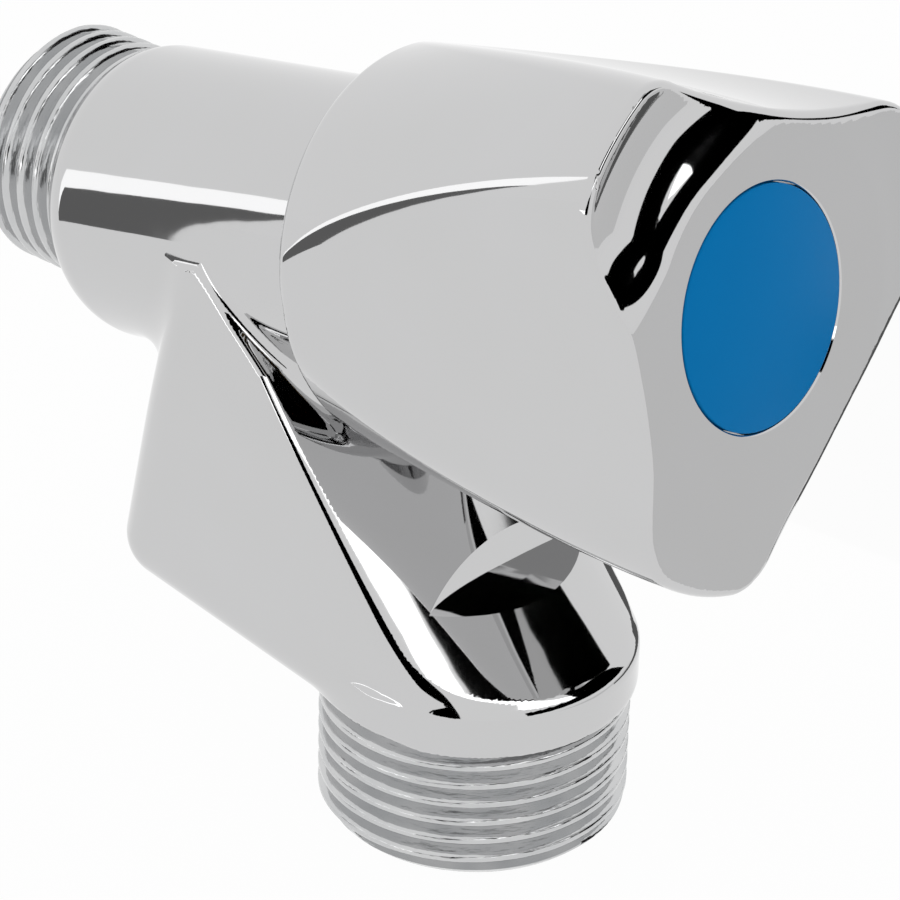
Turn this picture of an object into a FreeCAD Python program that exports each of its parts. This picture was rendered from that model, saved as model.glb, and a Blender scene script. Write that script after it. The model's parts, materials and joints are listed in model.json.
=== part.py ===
import FreeCAD, Part
import math
import os
import Sketcher
from FreeCAD import Placement, Rotation, Vector

# Washing machine tap: an angled stop tap with a male inlet, a tilted barrel that holds a turned
# headwork, a leg that leads down to a male hose outlet, and a hollow three sided handle.
#
# Frame: the origin is the centre of the inlet's end face. +Y runs into the wall, +Z is up, and the
# handle points along -Y. Three axes lie in the plane X = 0 and each piece is made about one of them:
#   inlet axis   horizontal, from the origin along -Y
#   barrel axis  starts where it crosses the inlet axis and climbs to the front by barrel_tilt
#   outlet axis  upright, its zero height is the outlet's end face

DOCUMENT = FreeCAD.newDocument("washing_machine_tap")

SIZES = [
    # gaps and allowances
    ("overrun", 1.0, "tools and blanks run this far past the faces they cut or meet"),
    ("face_gap", 0.02, "left between faces that rest on each other, so that pieces stay apart"),
    ("face_clearance", 0.05, "end play between faces that move past each other"),
    ("running_clearance", 0.05, "radial play of turning and sliding fits"),
    ("thread_clearance", 0.08, "radial play of threads and pressed seats"),
    ("groove_play", 0.1, "play of a ring in its groove, on each side"),
    # where the three axes lie
    ("inlet_reach", 18.1, "inlet face to the crossing of inlet and barrel axes"),
    ("outlet_reach", 48.7, "inlet face to the outlet axis, level"),
    ("outlet_drop", 46.05, "outlet face below the inlet axis"),
    ("barrel_tilt", 10.6, "climb of the barrel axis, degrees"),
    # inlet and outlet stubs
    ("inlet_thread_radius", 10.4775, "half the crest diameter of a G1/2 male thread"),
    ("inlet_thread_length", 7.0, "inlet face to the run-out groove of the thread"),
    ("inlet_root_radius", 9.3155, "half the root diameter of a G1/2 male thread"),
    ("outlet_thread_radius", 13.2205, "half the crest diameter of a G3/4 male thread"),
    ("outlet_thread_length", 12.6, "outlet face to the collar"),
    ("thread_chamfer", 0.9, "lead-in at both thread ends"),
    ("collar_radius", 13.6, "smooth collar above the outlet thread"),
    ("collar_top", 16.5, "height where the slanted front starts"),
    ("inlet_bore_radius", 7.0, "water way of the inlet"),
    ("inlet_bore_end", 4.0, "inlet bore stops this far behind the crossing"),
    # barrel
    ("barrel_radius", 12.6, "outside of the barrel"),
    ("barrel_back", 9.2, "crossing of the axes to the rear shoulder"),
    ("barrel_front", 29.0, "crossing of the axes to the open front"),
    ("shoulder_round", 4.2, "rounding of the rear shoulder"),
    # leg
    ("leg_half_width", 13.3, "flat sides of the leg, from the middle plane"),
    ("leg_back", 31.5, "lower rear corner of the leg, behind the outlet axis"),
    ("leg_heel", 15.7, "lower rear corner of the leg, above the outlet face"),
    ("leg_back_lean", 12.05, "forward lean of the leg's back, degrees"),
    ("leg_sole_slope", 9.5, "slope of the leg's underside, degrees"),
    ("leg_front_slope", 43.5, "slope of the leg's front in the middle, degrees"),
    ("leg_front_top", 39.5, "height where the leg's front has become flat"),
    ("leg_flat_bow", 150.0, "radius of the bow there"),
    ("bow_spare", 0.2, "the bow is this much wider than the leg before it is trimmed"),
    ("handle_clearance", 0.6, "between the leg and the turning handle"),
    ("leg_round", 4.4, "rounding of the leg's rear and lower edges"),
    # water ways
    ("seat_radius", 5.5, "hole of the valve seat"),
    ("seat_rim_radius", 7.0, "outside of the raised seat rim"),
    ("seat_rim_height", 1.0, "seat rim above the chamber floor"),
    ("seat_face", 4.0, "seat face in front of the crossing"),
    ("chamber_radius", 9.3, "valve chamber"),
    ("bonnet_thread_radius", 10.4, "thread of the headwork"),
    ("bonnet_thread_start", 18.5, "inner end of the headwork thread"),
    ("passage_radius", 6.2, "slanted way through the leg"),
    ("passage_lean", 30.0, "lean of that way from upright, degrees"),
    ("passage_offset", 2.5, "its lower end behind the outlet axis"),
    ("passage_height", 13.0, "its lower end above the outlet face"),
    ("passage_length", 35.5, "length of the slanted way"),
    ("outlet_bore_radius", 9.5, "bore that holds the non-return cartridge"),
    ("outlet_bore_top", 15.3, "shoulder above the cartridge"),
    ("outlet_bore_peak", 18.6, "end of the cone above that shoulder"),
    # headwork
    ("bonnet_skirt_start", 14.4, "inner end of the bonnet"),
    ("bonnet_skirt_radius", 8.8, "skirt that guides the jumper"),
    ("bonnet_thread_runout", 0.3, "the bonnet's thread starts this far beyond the body's"),
    ("gasket_thickness", 0.8, "flat ring under the flange"),
    ("gasket_width", 2.0, "ring width"),
    ("flange_radius", 12.5, "round flange of the bonnet"),
    ("flange_thickness", 1.6, "same, thickness"),
    ("bonnet_hex", 19.0, "spanner size of the bonnet"),
    ("bonnet_hex_length", 5.6, "height of the hexagon"),
    ("neck_radius", 7.0, "neck of the bonnet"),
    ("bonnet_end", 45.0, "outer end of the bonnet"),
    ("guide_hex", 11.0, "width across the flats of the jumper"),
    ("spindle_radius", 4.5, "stem of the spindle"),
    ("collar_play_station", 28.3, "face that the thrust collar bears on"),
    ("thrust_step", 0.9, "thrust collar over the stem"),
    ("thrust_thickness", 2.0, "same, thickness"),
    ("screw_radius", 3.4, "inner screw of the spindle"),
    ("screw_start", 14.5, "inner end of that screw"),
    ("ring_section", 0.7, "half thickness of the spindle rings"),
    ("ring_inner_station", 32.5, "middle of the inner ring"),
    ("ring_outer_station", 38.5, "middle of the outer ring"),
    ("thrust_washer_thickness", 0.5, "washer under the clip"),
    ("thrust_washer_lip", 0.4, "the washer over the clip"),
    ("clip_thickness", 0.7, "retaining ring"),
    ("clip_groove_radius", 3.7, "groove of the retaining ring"),
    ("clip_radius", 6.0, "outside of the retaining ring"),
    ("clip_opening", 60.0, "open part of a retaining ring, degrees"),
    ("spline_radius", 4.0, "crest of the splines"),
    ("spline_depth", 0.35, "depth of the splines"),
    ("spline_floor", 0.245, "width of a spline gap at its floor"),
    ("spline_mouth", 0.98, "same, a depth beyond the crests"),
    ("spline_count", 20, "number of splines"),
    ("spindle_end", 54.0, "outer end of the spindle"),
    ("screw_hole_depth", 9.0, "hole for the handle screw"),
    # jumper
    ("cup_radius", 8.3, "cup of the jumper"),
    ("cup_lip", 1.0, "wall round the washer"),
    ("cup_lip_depth", 1.3, "how far the lip comes down the washer"),
    ("cup_floor", 1.8, "floor above the washer"),
    ("washer_thickness", 2.45, "seat washer"),
    ("washer_hole", 1.6, "hole of the seat washer"),
    ("jumper_lift", 5.0, "travel from closed to open"),
    ("jumper_stop_gap", 0.45, "left between the jumper and the thrust collar when open"),
    ("jumper_bore_start", 9.2, "bottom of the threaded bore when closed"),
    ("washer_screw_radius", 1.5, "shank"),
    ("washer_screw_head", 3.0, "radius of the head"),
    ("washer_screw_head_height", 1.6, "height of the head"),
    ("washer_screw_length", 4.6, "shank length"),
    # handle
    ("handle_front", 59.0, "crossing of the axes to the handle's front face"),
    ("handle_length", 36.0, "front face to rear rim"),
    ("rim_flat", 16.0, "rear rim, middle of a side to the axis"),
    ("rim_corner", 15.7, "rear rim, corner radius"),
    ("face_flat", 16.3, "front face, its middle to the middle of a side"),
    ("face_corner", 8.4, "front face, corner radius"),
    ("face_shift", 1.1, "front face, its middle off the axis, towards the top side"),
    ("corner_angle", 127.0, "corner with the scoop, from +X, degrees"),
    ("front_round", 1.0, "rounding of the front edge"),
    ("rim_round", 1.3, "rounding of the rear rim"),
    ("scoop_radius", 9.0, "thumb scoop, radius of its cut"),
    ("scoop_offset", 21.0, "thumb scoop, centre from the axis"),
    ("scoop_ahead", 4.0, "thumb scoop, centre ahead of the face"),
    ("mouth_radius", 14.5, "inside of the skirt over the barrel"),
    ("mouth_depth", 9.0, "same, depth"),
    ("mouth_slope", 1.5, "length of the slope from the mouth to the hollow"),
    ("hollow_radius", 12.95, "inside of the skirt over the flange"),
    ("hollow_depth", 17.0, "same, from the rim"),
    ("hollow_slope", 2.0, "length of the slope from the hollow to the dome"),
    ("dome_radius", 11.3, "inside of the handle further up"),
    ("dome_depth", 29.0, "same, from the rim"),
    ("boss_radius", 7.5, "boss round the adapter"),
    ("boss_start", 47.2, "inner end of the boss"),
    ("adapter_radius", 5.5, "outside of the spline adapter"),
    ("adapter_end", 54.4, "outer end of the spline adapter"),
    ("web_end", 56.0, "face under the head of the handle screw"),
    ("handle_screw_radius", 1.9, "shank of the handle screw"),
    ("handle_screw_play", 0.3, "play of that screw in the handle"),
    ("handle_screw_head", 3.4, "radius of its head"),
    ("handle_screw_head_height", 1.2, "height of its head"),
    ("handle_screw_chamfer", 0.5, "chamfer of its head"),
    ("head_recess_radius", 4.4, "recess for its head"),
    ("cap_radius", 9.64, "index cap"),
    ("cap_thickness", 1.55, "index cap"),
    ("cap_gap", 0.12, "play round the index cap"),
    ("cap_edge", 0.25, "chamfer of the index cap"),
    ("cap_spigot", 1.2, "length of the ring that snaps into the recess"),
    ("cap_spigot_wall", 0.8, "wall of that ring"),
    # non-return cartridge in the outlet
    ("clip_groove_height", 0.9, "lower side of the groove in the outlet bore"),
    ("clip_groove_width", 0.95, "same, width"),
    ("clip_groove_depth", 0.7, "same, depth"),
    ("outlet_clip_inner", 8.2, "inside of the outlet clip"),
    ("outlet_clip_opening", 40.0, "open part of that clip, degrees"),
    ("housing_wall", 1.6, "wall of the cartridge"),
    ("cartridge_seat_radius", 5.0, "way through the cartridge's seat"),
    ("cartridge_seat_thickness", 1.5, "seat of the cartridge"),
    ("cartridge_ring_height", 9.4, "middle of the cartridge's ring"),
    ("cartridge_ring_section", 0.62, "half its thickness"),
    ("guide_depth", 2.1, "height of the guide's rim"),
    ("guide_rim", 1.2, "width of the guide's rim"),
    ("guide_step", 0.5, "step in the cartridge that holds the guide"),
    ("guide_hub_radius", 2.0, "hub of the guide"),
    ("guide_hub_height", 3.5, "height of the hub"),
    ("spoke_width", 1.3, "spokes of the guide"),
    ("spoke_overlap", 0.3, "spokes run this far into the rim and the hub"),
    ("spoke_count", 3, "number of spokes"),
    ("stem_radius", 1.0, "stem of the poppet"),
    ("stem_tail", 9.6, "stem below the poppet"),
    ("poppet_radius", 6.4, "poppet"),
    ("poppet_thickness", 1.3, "poppet"),
    ("seal_thickness", 0.6, "seal of the poppet"),
    ("seal_inset", 0.1, "the seal inside the poppet's edge"),
    ("spigot_radius", 2.2, "spigot that holds the seal"),
    ("spigot_tip", 0.5, "spigot above the seal"),
    ("spring_radius", 3.0, "middle of the spring wire"),
    ("spring_wire", 0.3, "half the wire"),
    ("spring_turns", 4.0, "turns of the spring"),
]

COS30 = math.cos(math.radians(30))
NEAR = 0.01
RING_SIDES = 8
HOLLOW_SHARE = 0.65


class Size:
    """A measure that carries its value and the formula that ties it to the sheet."""

    def __init__(self, value, formula):
        self.value = value
        self.formula = formula

    def __add__(self, other):
        return Size(self.value + value_of(other), f"({self.formula} + {formula_of(other)})")

    def __radd__(self, other):
        return Size(value_of(other) + self.value, f"({formula_of(other)} + {self.formula})")

    def __sub__(self, other):
        return Size(self.value - value_of(other), f"({self.formula} - {formula_of(other)})")

    def __rsub__(self, other):
        return Size(value_of(other) - self.value, f"({formula_of(other)} - {self.formula})")

    def __mul__(self, other):
        return Size(self.value * value_of(other), f"({self.formula} * {formula_of(other)})")

    __rmul__ = __mul__

    def __truediv__(self, other):
        return Size(self.value / value_of(other), f"({self.formula} / {formula_of(other)})")

    def __neg__(self):
        return Size(-self.value, f"(-1 * {self.formula})")


def value_of(measure):
    return measure.value if isinstance(measure, Size) else float(measure)


def formula_of(measure):
    return measure.formula if isinstance(measure, Size) else repr(float(measure))


def sine(angle):
    return Size(math.sin(math.radians(angle.value)), f"sin({angle.formula} * 1deg)")


def cosine(angle):
    return Size(math.cos(math.radians(angle.value)), f"cos({angle.formula} * 1deg)")


def tangent(angle):
    return Size(math.tan(math.radians(angle.value)), f"tan({angle.formula} * 1deg)")


class Sizes:
    """The driving dimensions, kept in a sheet of the document."""

    def __init__(self, rows):
        sheet = DOCUMENT.addObject("Spreadsheet::Sheet", "Sizes")
        for row, (name, value, meaning) in enumerate(rows, start=1):
            sheet.set(f"A{row}", name)
            sheet.set(f"B{row}", str(value))
            sheet.set(f"C{row}", meaning)
            sheet.setAlias(f"B{row}", name)
            setattr(self, name, Size(float(value), f"Sizes.{name}"))
        DOCUMENT.recompute()


size = Sizes(SIZES)


def plain(number):
    """A fixed number as a measure."""
    return Size(float(number), repr(float(number)))


class Axis:
    """One of the tap's three axes: a start in the plane X = 0 and a turn from upright about X."""

    def __init__(self, start_y, start_z, turn):
        self.start_y = start_y
        self.start_z = start_z
        self.turn = turn

    def seat(self, thing, along=0, aside=0, spin=None):
        """Put a thing on the axis, some way along it, or aside of it in the plane X = 0."""
        place_y = self.start_y - sine(self.turn) * along + cosine(self.turn) * aside
        place_z = self.start_z + cosine(self.turn) * along + sine(self.turn) * aside
        angle = self.turn if spin is None else self.turn + spin
        spot = Vector(0, place_y.value, place_z.value)
        thing.Placement = Placement(spot, Rotation(Vector(1, 0, 0), angle.value))
        thing.setExpression("Placement.Base.y", place_y.formula)
        thing.setExpression("Placement.Base.z", place_z.formula)
        thing.setExpression("Placement.Rotation.Angle", angle.formula)
        return thing


ZERO = plain(0)
INLET = Axis(ZERO, ZERO, plain(90))
BARREL = Axis(-size.inlet_reach, ZERO, 90 - size.barrel_tilt)
OUTLET = Axis(-size.outlet_reach, -size.outlet_drop, ZERO)


def pin(sketch, item, point, across, up):
    """Tie a point of a sketch to two measures from the sketch's origin."""
    for kind, axis, measure in (("DistanceX", -2, across), ("DistanceY", -1, up)):
        if value_of(measure) == 0:
            sketch.addConstraint(Sketcher.Constraint("PointOnObject", item, point, axis))
        else:
            rule = Sketcher.Constraint(kind, item, point, value_of(measure))
            index = sketch.addConstraint(rule)
            sketch.setExpression(f"Constraints[{index}]", formula_of(measure))


def hold_radius(sketch, item, measure):
    index = sketch.addConstraint(Sketcher.Constraint("Radius", item, value_of(measure)))
    sketch.setExpression(f"Constraints[{index}]", formula_of(measure))


def new_body(name, axis):
    body = DOCUMENT.addObject("PartDesign::Body", name)
    axis.seat(body)
    return body


def new_sketch(body, name, role, lift=0, turn=None, about=Vector(0, 0, 1)):
    """A sketch on one of the body's own origin planes, lifted off it or turned."""
    sketch = body.newObject("Sketcher::SketchObject", name)
    plane = next(item for item in body.Origin.OriginFeatures if item.Role == role)
    sketch.AttachmentSupport = [(plane, "")]
    sketch.MapMode = "FlatFace"
    angle = turn if turn is not None else ZERO
    offset = Placement(Vector(0, 0, value_of(lift)), Rotation(about, angle.value))
    sketch.AttachmentOffset = offset
    sketch.setExpression("AttachmentOffset.Base.z", formula_of(lift))
    if turn is not None:
        sketch.setExpression("AttachmentOffset.Rotation.Angle", angle.formula)
    return sketch


def draw_outline(sketch, corners):
    """A closed outline of straight lines, each corner pinned to its two measures."""
    spots = [Vector(value_of(across), value_of(up), 0) for across, up in corners]
    count = len(spots)
    for index, spot in enumerate(spots):
        sketch.addGeometry(Part.LineSegment(spot, spots[(index + 1) % count]), False)
    for index in range(count):
        following = (index + 1) % count
        sketch.addConstraint(Sketcher.Constraint("Coincident", index, 2, following, 1))
    for index, (across, up) in enumerate(corners):
        pin(sketch, index, 1, across, up)


def draw_circle(sketch, across, up, radius):
    centre = Vector(value_of(across), value_of(up), 0)
    item = sketch.addGeometry(Part.Circle(centre, Vector(0, 0, 1), value_of(radius)), False)
    pin(sketch, item, 3, across, up)
    hold_radius(sketch, item, radius)


def draw_round_triangle(sketch, flat, corner, shift):
    """Three sides at one distance from the middle, with round corners, the first one on +X.

    The middle itself may be shifted off the origin, straight towards the side after +X, clockwise.
    """
    gap = flat - corner
    aside = shift / 2
    below = shift * COS30
    for index in range(3):
        facing = math.radians(120 * index)
        reach = 2 * gap.value
        centre = Vector(reach * math.cos(facing) + aside.value,
                        reach * math.sin(facing) - below.value, 0)
        circle = Part.Circle(centre, Vector(0, 0, 1), corner.value)
        start = facing - math.radians(60)
        sketch.addGeometry(Part.ArcOfCircle(circle, start, start + math.radians(120)), False)
    for index in range(3):
        following = (index + 1) % 3
        begin = sketch.Geometry[index].EndPoint
        end = sketch.Geometry[following].StartPoint
        sketch.addGeometry(Part.LineSegment(begin, end), False)
    for index in range(3):
        following = (index + 1) % 3
        side = index + 3
        sketch.addConstraint(Sketcher.Constraint("Tangent", index, 2, side, 1))
        sketch.addConstraint(Sketcher.Constraint("Tangent", side, 2, following, 1))
    pin(sketch, 0, 3, aside + gap * 2, -below)
    pin(sketch, 1, 3, aside - gap, gap * (2 * COS30) - below)
    pin(sketch, 2, 3, aside - gap, gap * (-2 * COS30) - below)
    for index in range(3):
        hold_radius(sketch, index, corner)


def turn_profile(body, name, corners, opening=None):
    """Revolve an outline of (radius, station) corners about the body's own axis."""
    sketch = new_sketch(body, name + "_profile", "XZ_Plane")
    draw_outline(sketch, corners)
    turn = body.newObject("PartDesign::Revolution", name + "_turn")
    turn.Profile = sketch
    turn.ReferenceAxis = (sketch, ["V_Axis"])
    turn.Angle = 360
    if opening is not None:
        turn.Angle = 360 - opening.value
        turn.setExpression("Angle", (360 - opening).formula)
    DOCUMENT.recompute()
    return turn


def turned(name, axis, corners, opening=None):
    body = new_body(name, axis)
    turn_profile(body, name, corners, opening)
    return body


def ring(name, axis, inner, outer, start, end, opening=None):
    corners = [(inner, start), (outer, start), (outer, end), (inner, end)]
    return turned(name, axis, corners, opening)


def rod(name, axis, radius, start, end):
    corners = [(0, start), (radius, start), (radius, end), (0, end)]
    return turned(name, axis, corners)


def round_ring(name, axis, radius, section, station):
    """A rubber ring: its round section, drawn with a few corners, turned about the axis."""
    corners = []
    for index in range(RING_SIDES):
        angle = 2 * math.pi * (index + 0.5) / RING_SIDES
        corners.append((radius + section * math.cos(angle), station + section * math.sin(angle)))
    return turned(name, axis, corners)


def hexagon(name, axis, across_flats, start, length):
    solid = DOCUMENT.addObject("Part::Prism", name)
    solid.Polygon = 6
    solid.setExpression("Circumradius", (across_flats / (2 * COS30)).formula)
    solid.setExpression("Height", length.formula)
    return axis.seat(solid, start)


def fuse(name, things):
    joined = DOCUMENT.addObject("Part::MultiFuse", name)
    joined.Shapes = things
    joined.Refine = True
    DOCUMENT.recompute()
    return joined


def cut(name, base, tool):
    left = DOCUMENT.addObject("Part::Cut", name)
    left.Base = base
    left.Tool = tool
    left.Refine = True
    DOCUMENT.recompute()
    return left


def edges_where(feature, test):
    """Names of a feature's edges whose middle passes a test."""
    DOCUMENT.recompute()
    found = []
    for index, edge in enumerate(feature.Shape.Edges, start=1):
        middle = edge.valueAt((edge.FirstParameter + edge.LastParameter) / 2)
        if test(middle):
            found.append(f"Edge{index}")
    return found


def round_edges(body, base, name, edges, radius):
    rounding = body.newObject("PartDesign::Fillet", name)
    rounding.Base = (base, edges)
    rounding.setExpression("Radius", radius.formula)
    DOCUMENT.recompute()
    return rounding


SUB_PARTS = []


def keep(thing, label):
    """Give a finished piece its label and list it for export."""
    thing.Label = label
    SUB_PARTS.append(thing)
    return thing


# Valve body


def make_barrel():
    """The tilted barrel with its rounded rear shoulder."""
    body = new_body("barrel", BARREL)
    back = -size.barrel_back
    corners = [(0, back), (size.barrel_radius, back)]
    corners += [(size.barrel_radius, size.barrel_front), (0, size.barrel_front)]
    blank = turn_profile(body, "barrel", corners)
    rear_edge = edges_where(blank, lambda middle: abs(middle.z - back.value) < NEAR)
    round_edges(body, blank, "barrel_shoulder", rear_edge[:1], size.shoulder_round)
    return body


def make_inlet_stub():
    """The male inlet, at the crest diameter of its thread, and the groove where the thread ends."""
    crest = size.inlet_thread_radius
    length = size.inlet_thread_length
    corners = [(0, 0), (crest - size.thread_chamfer, 0), (crest, size.thread_chamfer)]
    corners += [(crest, length), (size.inlet_root_radius, length)]
    corners += [(size.inlet_root_radius, size.inlet_reach), (0, size.inlet_reach)]
    return turned("inlet_stub", INLET, corners)


def make_outlet_stub():
    """The male outlet, at the crest diameter of its thread, and the collar above it."""
    crest = size.outlet_thread_radius
    length = size.outlet_thread_length
    corners = [(0, 0), (crest - size.thread_chamfer, 0), (crest, size.thread_chamfer)]
    corners += [(crest, length), (size.collar_radius, length)]
    corners += [(size.collar_radius, size.collar_top), (0, size.collar_top)]
    return turned("outlet_stub", OUTLET, corners)


def leg_top(distance):
    """Height of the barrel axis over a point this far behind the outlet axis."""
    crossing = size.outlet_reach - size.inlet_reach
    return size.outlet_drop + (crossing - distance) * tangent(size.barrel_tilt)


def make_leg_side():
    """The leg seen from the side, padded to its width, with its rear and lower edges rounded."""
    body = new_body("leg_side", OUTLET)
    sketch = new_sketch(body, "leg_side_outline", "YZ_Plane")
    front = -size.collar_radius - size.overrun
    toe = size.outlet_thread_length
    run = (size.leg_heel - toe) / tangent(size.leg_sole_slope)
    climb = size.outlet_drop - size.leg_heel
    back_top = size.leg_back - climb * tangent(size.leg_back_lean)
    corners = [(size.leg_back, size.leg_heel), (back_top, leg_top(back_top))]
    corners += [(front, leg_top(front)), (front, toe), (size.leg_back - run, toe)]
    draw_outline(sketch, corners)
    pad = body.newObject("PartDesign::Pad", "leg_side_pad")
    pad.Profile = sketch
    pad.SideType = "Symmetric"
    pad.setExpression("Length", (size.leg_half_width * 2).formula)
    DOCUMENT.recompute()
    heel = Vector(0, size.leg_back.value, size.leg_heel.value)
    width = size.leg_half_width.value

    def is_rear_or_lower(middle):
        on_side = abs(abs(middle.x) - width) < NEAR
        under_barrel = middle.z < leg_top(back_top).value - NEAR
        across = (middle - heel).Length < NEAR
        return across or (on_side and under_barrel and middle.y > 0)

    rounded = edges_where(pad, is_rear_or_lower)
    round_edges(body, pad, "leg_side_round", rounded, size.leg_round)
    return body


def draw_bow(sketch, half_width, radius, crest, depth):
    """An arc bowed to the front, its crest on the middle plane, between sides that run back."""
    centre = crest + radius
    reach = math.asin(half_width.value / radius.value)
    circle = Part.Circle(Vector(0, centre.value, 0), Vector(0, 0, 1), radius.value)
    down = 1.5 * math.pi
    sketch.addGeometry(Part.ArcOfCircle(circle, down - reach, down + reach), False)
    shoulder = centre.value - radius.value * math.cos(reach)
    left_front = Vector(-half_width.value, shoulder, 0)
    right_front = Vector(half_width.value, shoulder, 0)
    left_back = Vector(-half_width.value, depth.value, 0)
    right_back = Vector(half_width.value, depth.value, 0)
    sketch.addGeometry(Part.LineSegment(right_front, right_back), False)
    sketch.addGeometry(Part.LineSegment(right_back, left_back), False)
    sketch.addGeometry(Part.LineSegment(left_back, left_front), False)
    for first, second in ((0, 1), (1, 2), (2, 3)):
        sketch.addConstraint(Sketcher.Constraint("Coincident", first, 2, second, 1))
    sketch.addConstraint(Sketcher.Constraint("Coincident", 3, 2, 0, 1))
    pin(sketch, 0, 3, ZERO, centre)
    hold_radius(sketch, 0, radius)
    pin(sketch, 2, 1, half_width, depth)
    pin(sketch, 3, 1, -half_width, depth)
    for side in (1, 3):
        sketch.addConstraint(Sketcher.Constraint("Vertical", side))


def make_leg_front():
    """The leg's front: upright over the collar, then slanted back while its bow flattens out."""
    climb = size.leg_front_top - size.collar_top
    crest_top = climb / tangent(size.leg_front_slope) - size.collar_radius
    above = size.leg_front_top + size.barrel_radius
    crest_above = crest_top + size.barrel_radius / tangent(size.leg_front_slope)
    stages = [
        (size.outlet_thread_length, size.collar_radius, -size.collar_radius),
        (size.collar_top, size.collar_radius, -size.collar_radius),
        (size.leg_front_top, size.leg_flat_bow, crest_top),
        (above, size.leg_flat_bow, crest_above),
    ]
    sections = []
    for stage, (height, radius, crest) in enumerate(stages):
        sketch = DOCUMENT.addObject("Sketcher::SketchObject", f"leg_bow_section_{stage}")
        OUTLET.seat(sketch, height)
        half_width = size.leg_half_width + size.bow_spare
        draw_bow(sketch, half_width, radius, crest, size.leg_back + size.overrun)
        sections.append(sketch)
    DOCUMENT.recompute()
    bow = DOCUMENT.addObject("Part::Loft", "leg_bow")
    bow.Sections = sections
    bow.Solid = True
    bow.Ruled = True
    DOCUMENT.recompute()
    return bow


def make_handle_relief():
    """The space that the turning handle sweeps, cleared from the leg."""
    rim_station = size.handle_front - size.handle_length - size.handle_clearance
    rim_reach = size.rim_flat * 2 - size.rim_corner + size.handle_clearance
    face_reach = size.face_flat * 2 - size.face_corner + size.handle_clearance
    corners = [(0, rim_station), (rim_reach, rim_station)]
    corners += [(face_reach, size.handle_front), (0, size.handle_front)]
    return turned("handle_relief", BARREL, corners)


def make_leg():
    """The leg: its side outline and its bowed front, kept where both agree, clear of the handle."""
    side = make_leg_side()
    bow = make_leg_front()
    shared = DOCUMENT.addObject("Part::Common", "leg_block")
    shared.Base = side
    shared.Tool = bow
    DOCUMENT.recompute()
    return cut("leg", shared, make_handle_relief())


def make_water_ways():
    """Everything that is bored out of the body."""
    inlet_end = size.inlet_reach - size.inlet_bore_end
    inlet = rod("inlet_bore", INLET, size.inlet_bore_radius, -size.overrun, inlet_end)
    floor = size.seat_face - size.seat_rim_height
    thread = size.bonnet_thread_radius + size.thread_clearance
    start = -size.inlet_bore_end - size.overrun * 2
    end = size.barrel_front + size.overrun
    corners = [(0, start), (size.seat_radius, start), (size.seat_radius, size.seat_face)]
    corners += [(size.seat_rim_radius, size.seat_face), (size.seat_rim_radius, floor)]
    corners += [(size.chamber_radius, floor), (size.chamber_radius, size.bonnet_thread_start)]
    corners += [(thread, size.bonnet_thread_start), (thread, end), (0, end)]
    chamber = turned("valve_chamber", BARREL, corners)
    passage = DOCUMENT.addObject("Part::Cylinder", "leg_passage")
    passage.setExpression("Radius", size.passage_radius.formula)
    passage.setExpression("Height", size.passage_length.formula)
    OUTLET.seat(passage, size.passage_height, size.passage_offset, -size.passage_lean)
    bore = size.outlet_bore_radius
    groove = bore + size.clip_groove_depth
    groove_top = size.clip_groove_height + size.clip_groove_width
    corners = [(0, -size.overrun), (bore, -size.overrun), (bore, size.clip_groove_height)]
    corners += [(groove, size.clip_groove_height), (groove, groove_top), (bore, groove_top)]
    corners += [(bore, size.outlet_bore_top), (size.passage_radius, size.outlet_bore_peak)]
    corners += [(0, size.outlet_bore_peak)]
    outlet = turned("outlet_bore", OUTLET, corners)
    return fuse("water_ways", [inlet, chamber, passage, outlet])


def make_valve_body():
    casting = fuse("casting", [make_barrel(), make_inlet_stub(), make_outlet_stub(), make_leg()])
    keep(cut("valve_body", casting, make_water_ways()), "valve_body")


# Headwork

FLANGE_START = size.barrel_front + size.gasket_thickness
HEX_START = FLANGE_START + size.flange_thickness
NECK_START = HEX_START + size.bonnet_hex_length
STEM_BORE = size.spindle_radius + size.running_clearance
THRUST_RADIUS = size.spindle_radius + size.thrust_step
GUIDE_BORE = size.guide_hex + size.running_clearance * 2


def make_bonnet():
    """The headwork's housing: skirt, thread, flange, spanner hexagon and neck."""
    hole_start = size.bonnet_skirt_start
    thread = size.bonnet_thread_radius
    thread_start = size.bonnet_thread_start + size.bonnet_thread_runout
    relief = THRUST_RADIUS + size.running_clearance
    corners = [(relief, hole_start), (size.bonnet_skirt_radius, hole_start)]
    corners += [(size.bonnet_skirt_radius, thread_start), (thread, thread_start)]
    corners += [(thread, FLANGE_START)]
    corners += [(size.flange_radius, FLANGE_START), (size.flange_radius, HEX_START)]
    corners += [(size.neck_radius, HEX_START), (size.neck_radius, size.bonnet_end)]
    corners += [(STEM_BORE, size.bonnet_end), (STEM_BORE, size.collar_play_station)]
    corners += [(relief, size.collar_play_station)]
    turning = turned("bonnet_turning", BARREL, corners)
    nut = hexagon("bonnet_nut", BARREL, size.bonnet_hex, HEX_START, size.bonnet_hex_length)
    nut_bore = rod("bonnet_nut_bore", BARREL, STEM_BORE,
                   HEX_START - size.overrun, NECK_START + size.overrun)
    guide_length = size.collar_play_station - size.thrust_thickness - hole_start
    guide = hexagon("bonnet_guide", BARREL, GUIDE_BORE, hole_start, guide_length)
    blank = fuse("bonnet_blank", [turning, cut("bonnet_ring_nut", nut, nut_bore)])
    keep(cut("bonnet", blank, guide), "bonnet")


def make_bonnet_gasket():
    inner = size.bonnet_thread_radius + size.thread_clearance
    gasket = ring("bonnet_gasket", BARREL, inner, inner + size.gasket_width,
                  size.barrel_front, FLANGE_START)
    keep(gasket, "bonnet_gasket")


THRUST_FACE = size.collar_play_station - size.face_clearance
CLIP_START = size.bonnet_end + size.face_clearance + size.thrust_washer_thickness
CLIP_END = CLIP_START + size.clip_thickness
RING_GROOVE = size.spindle_radius - size.ring_section * 2 + size.running_clearance


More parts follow.
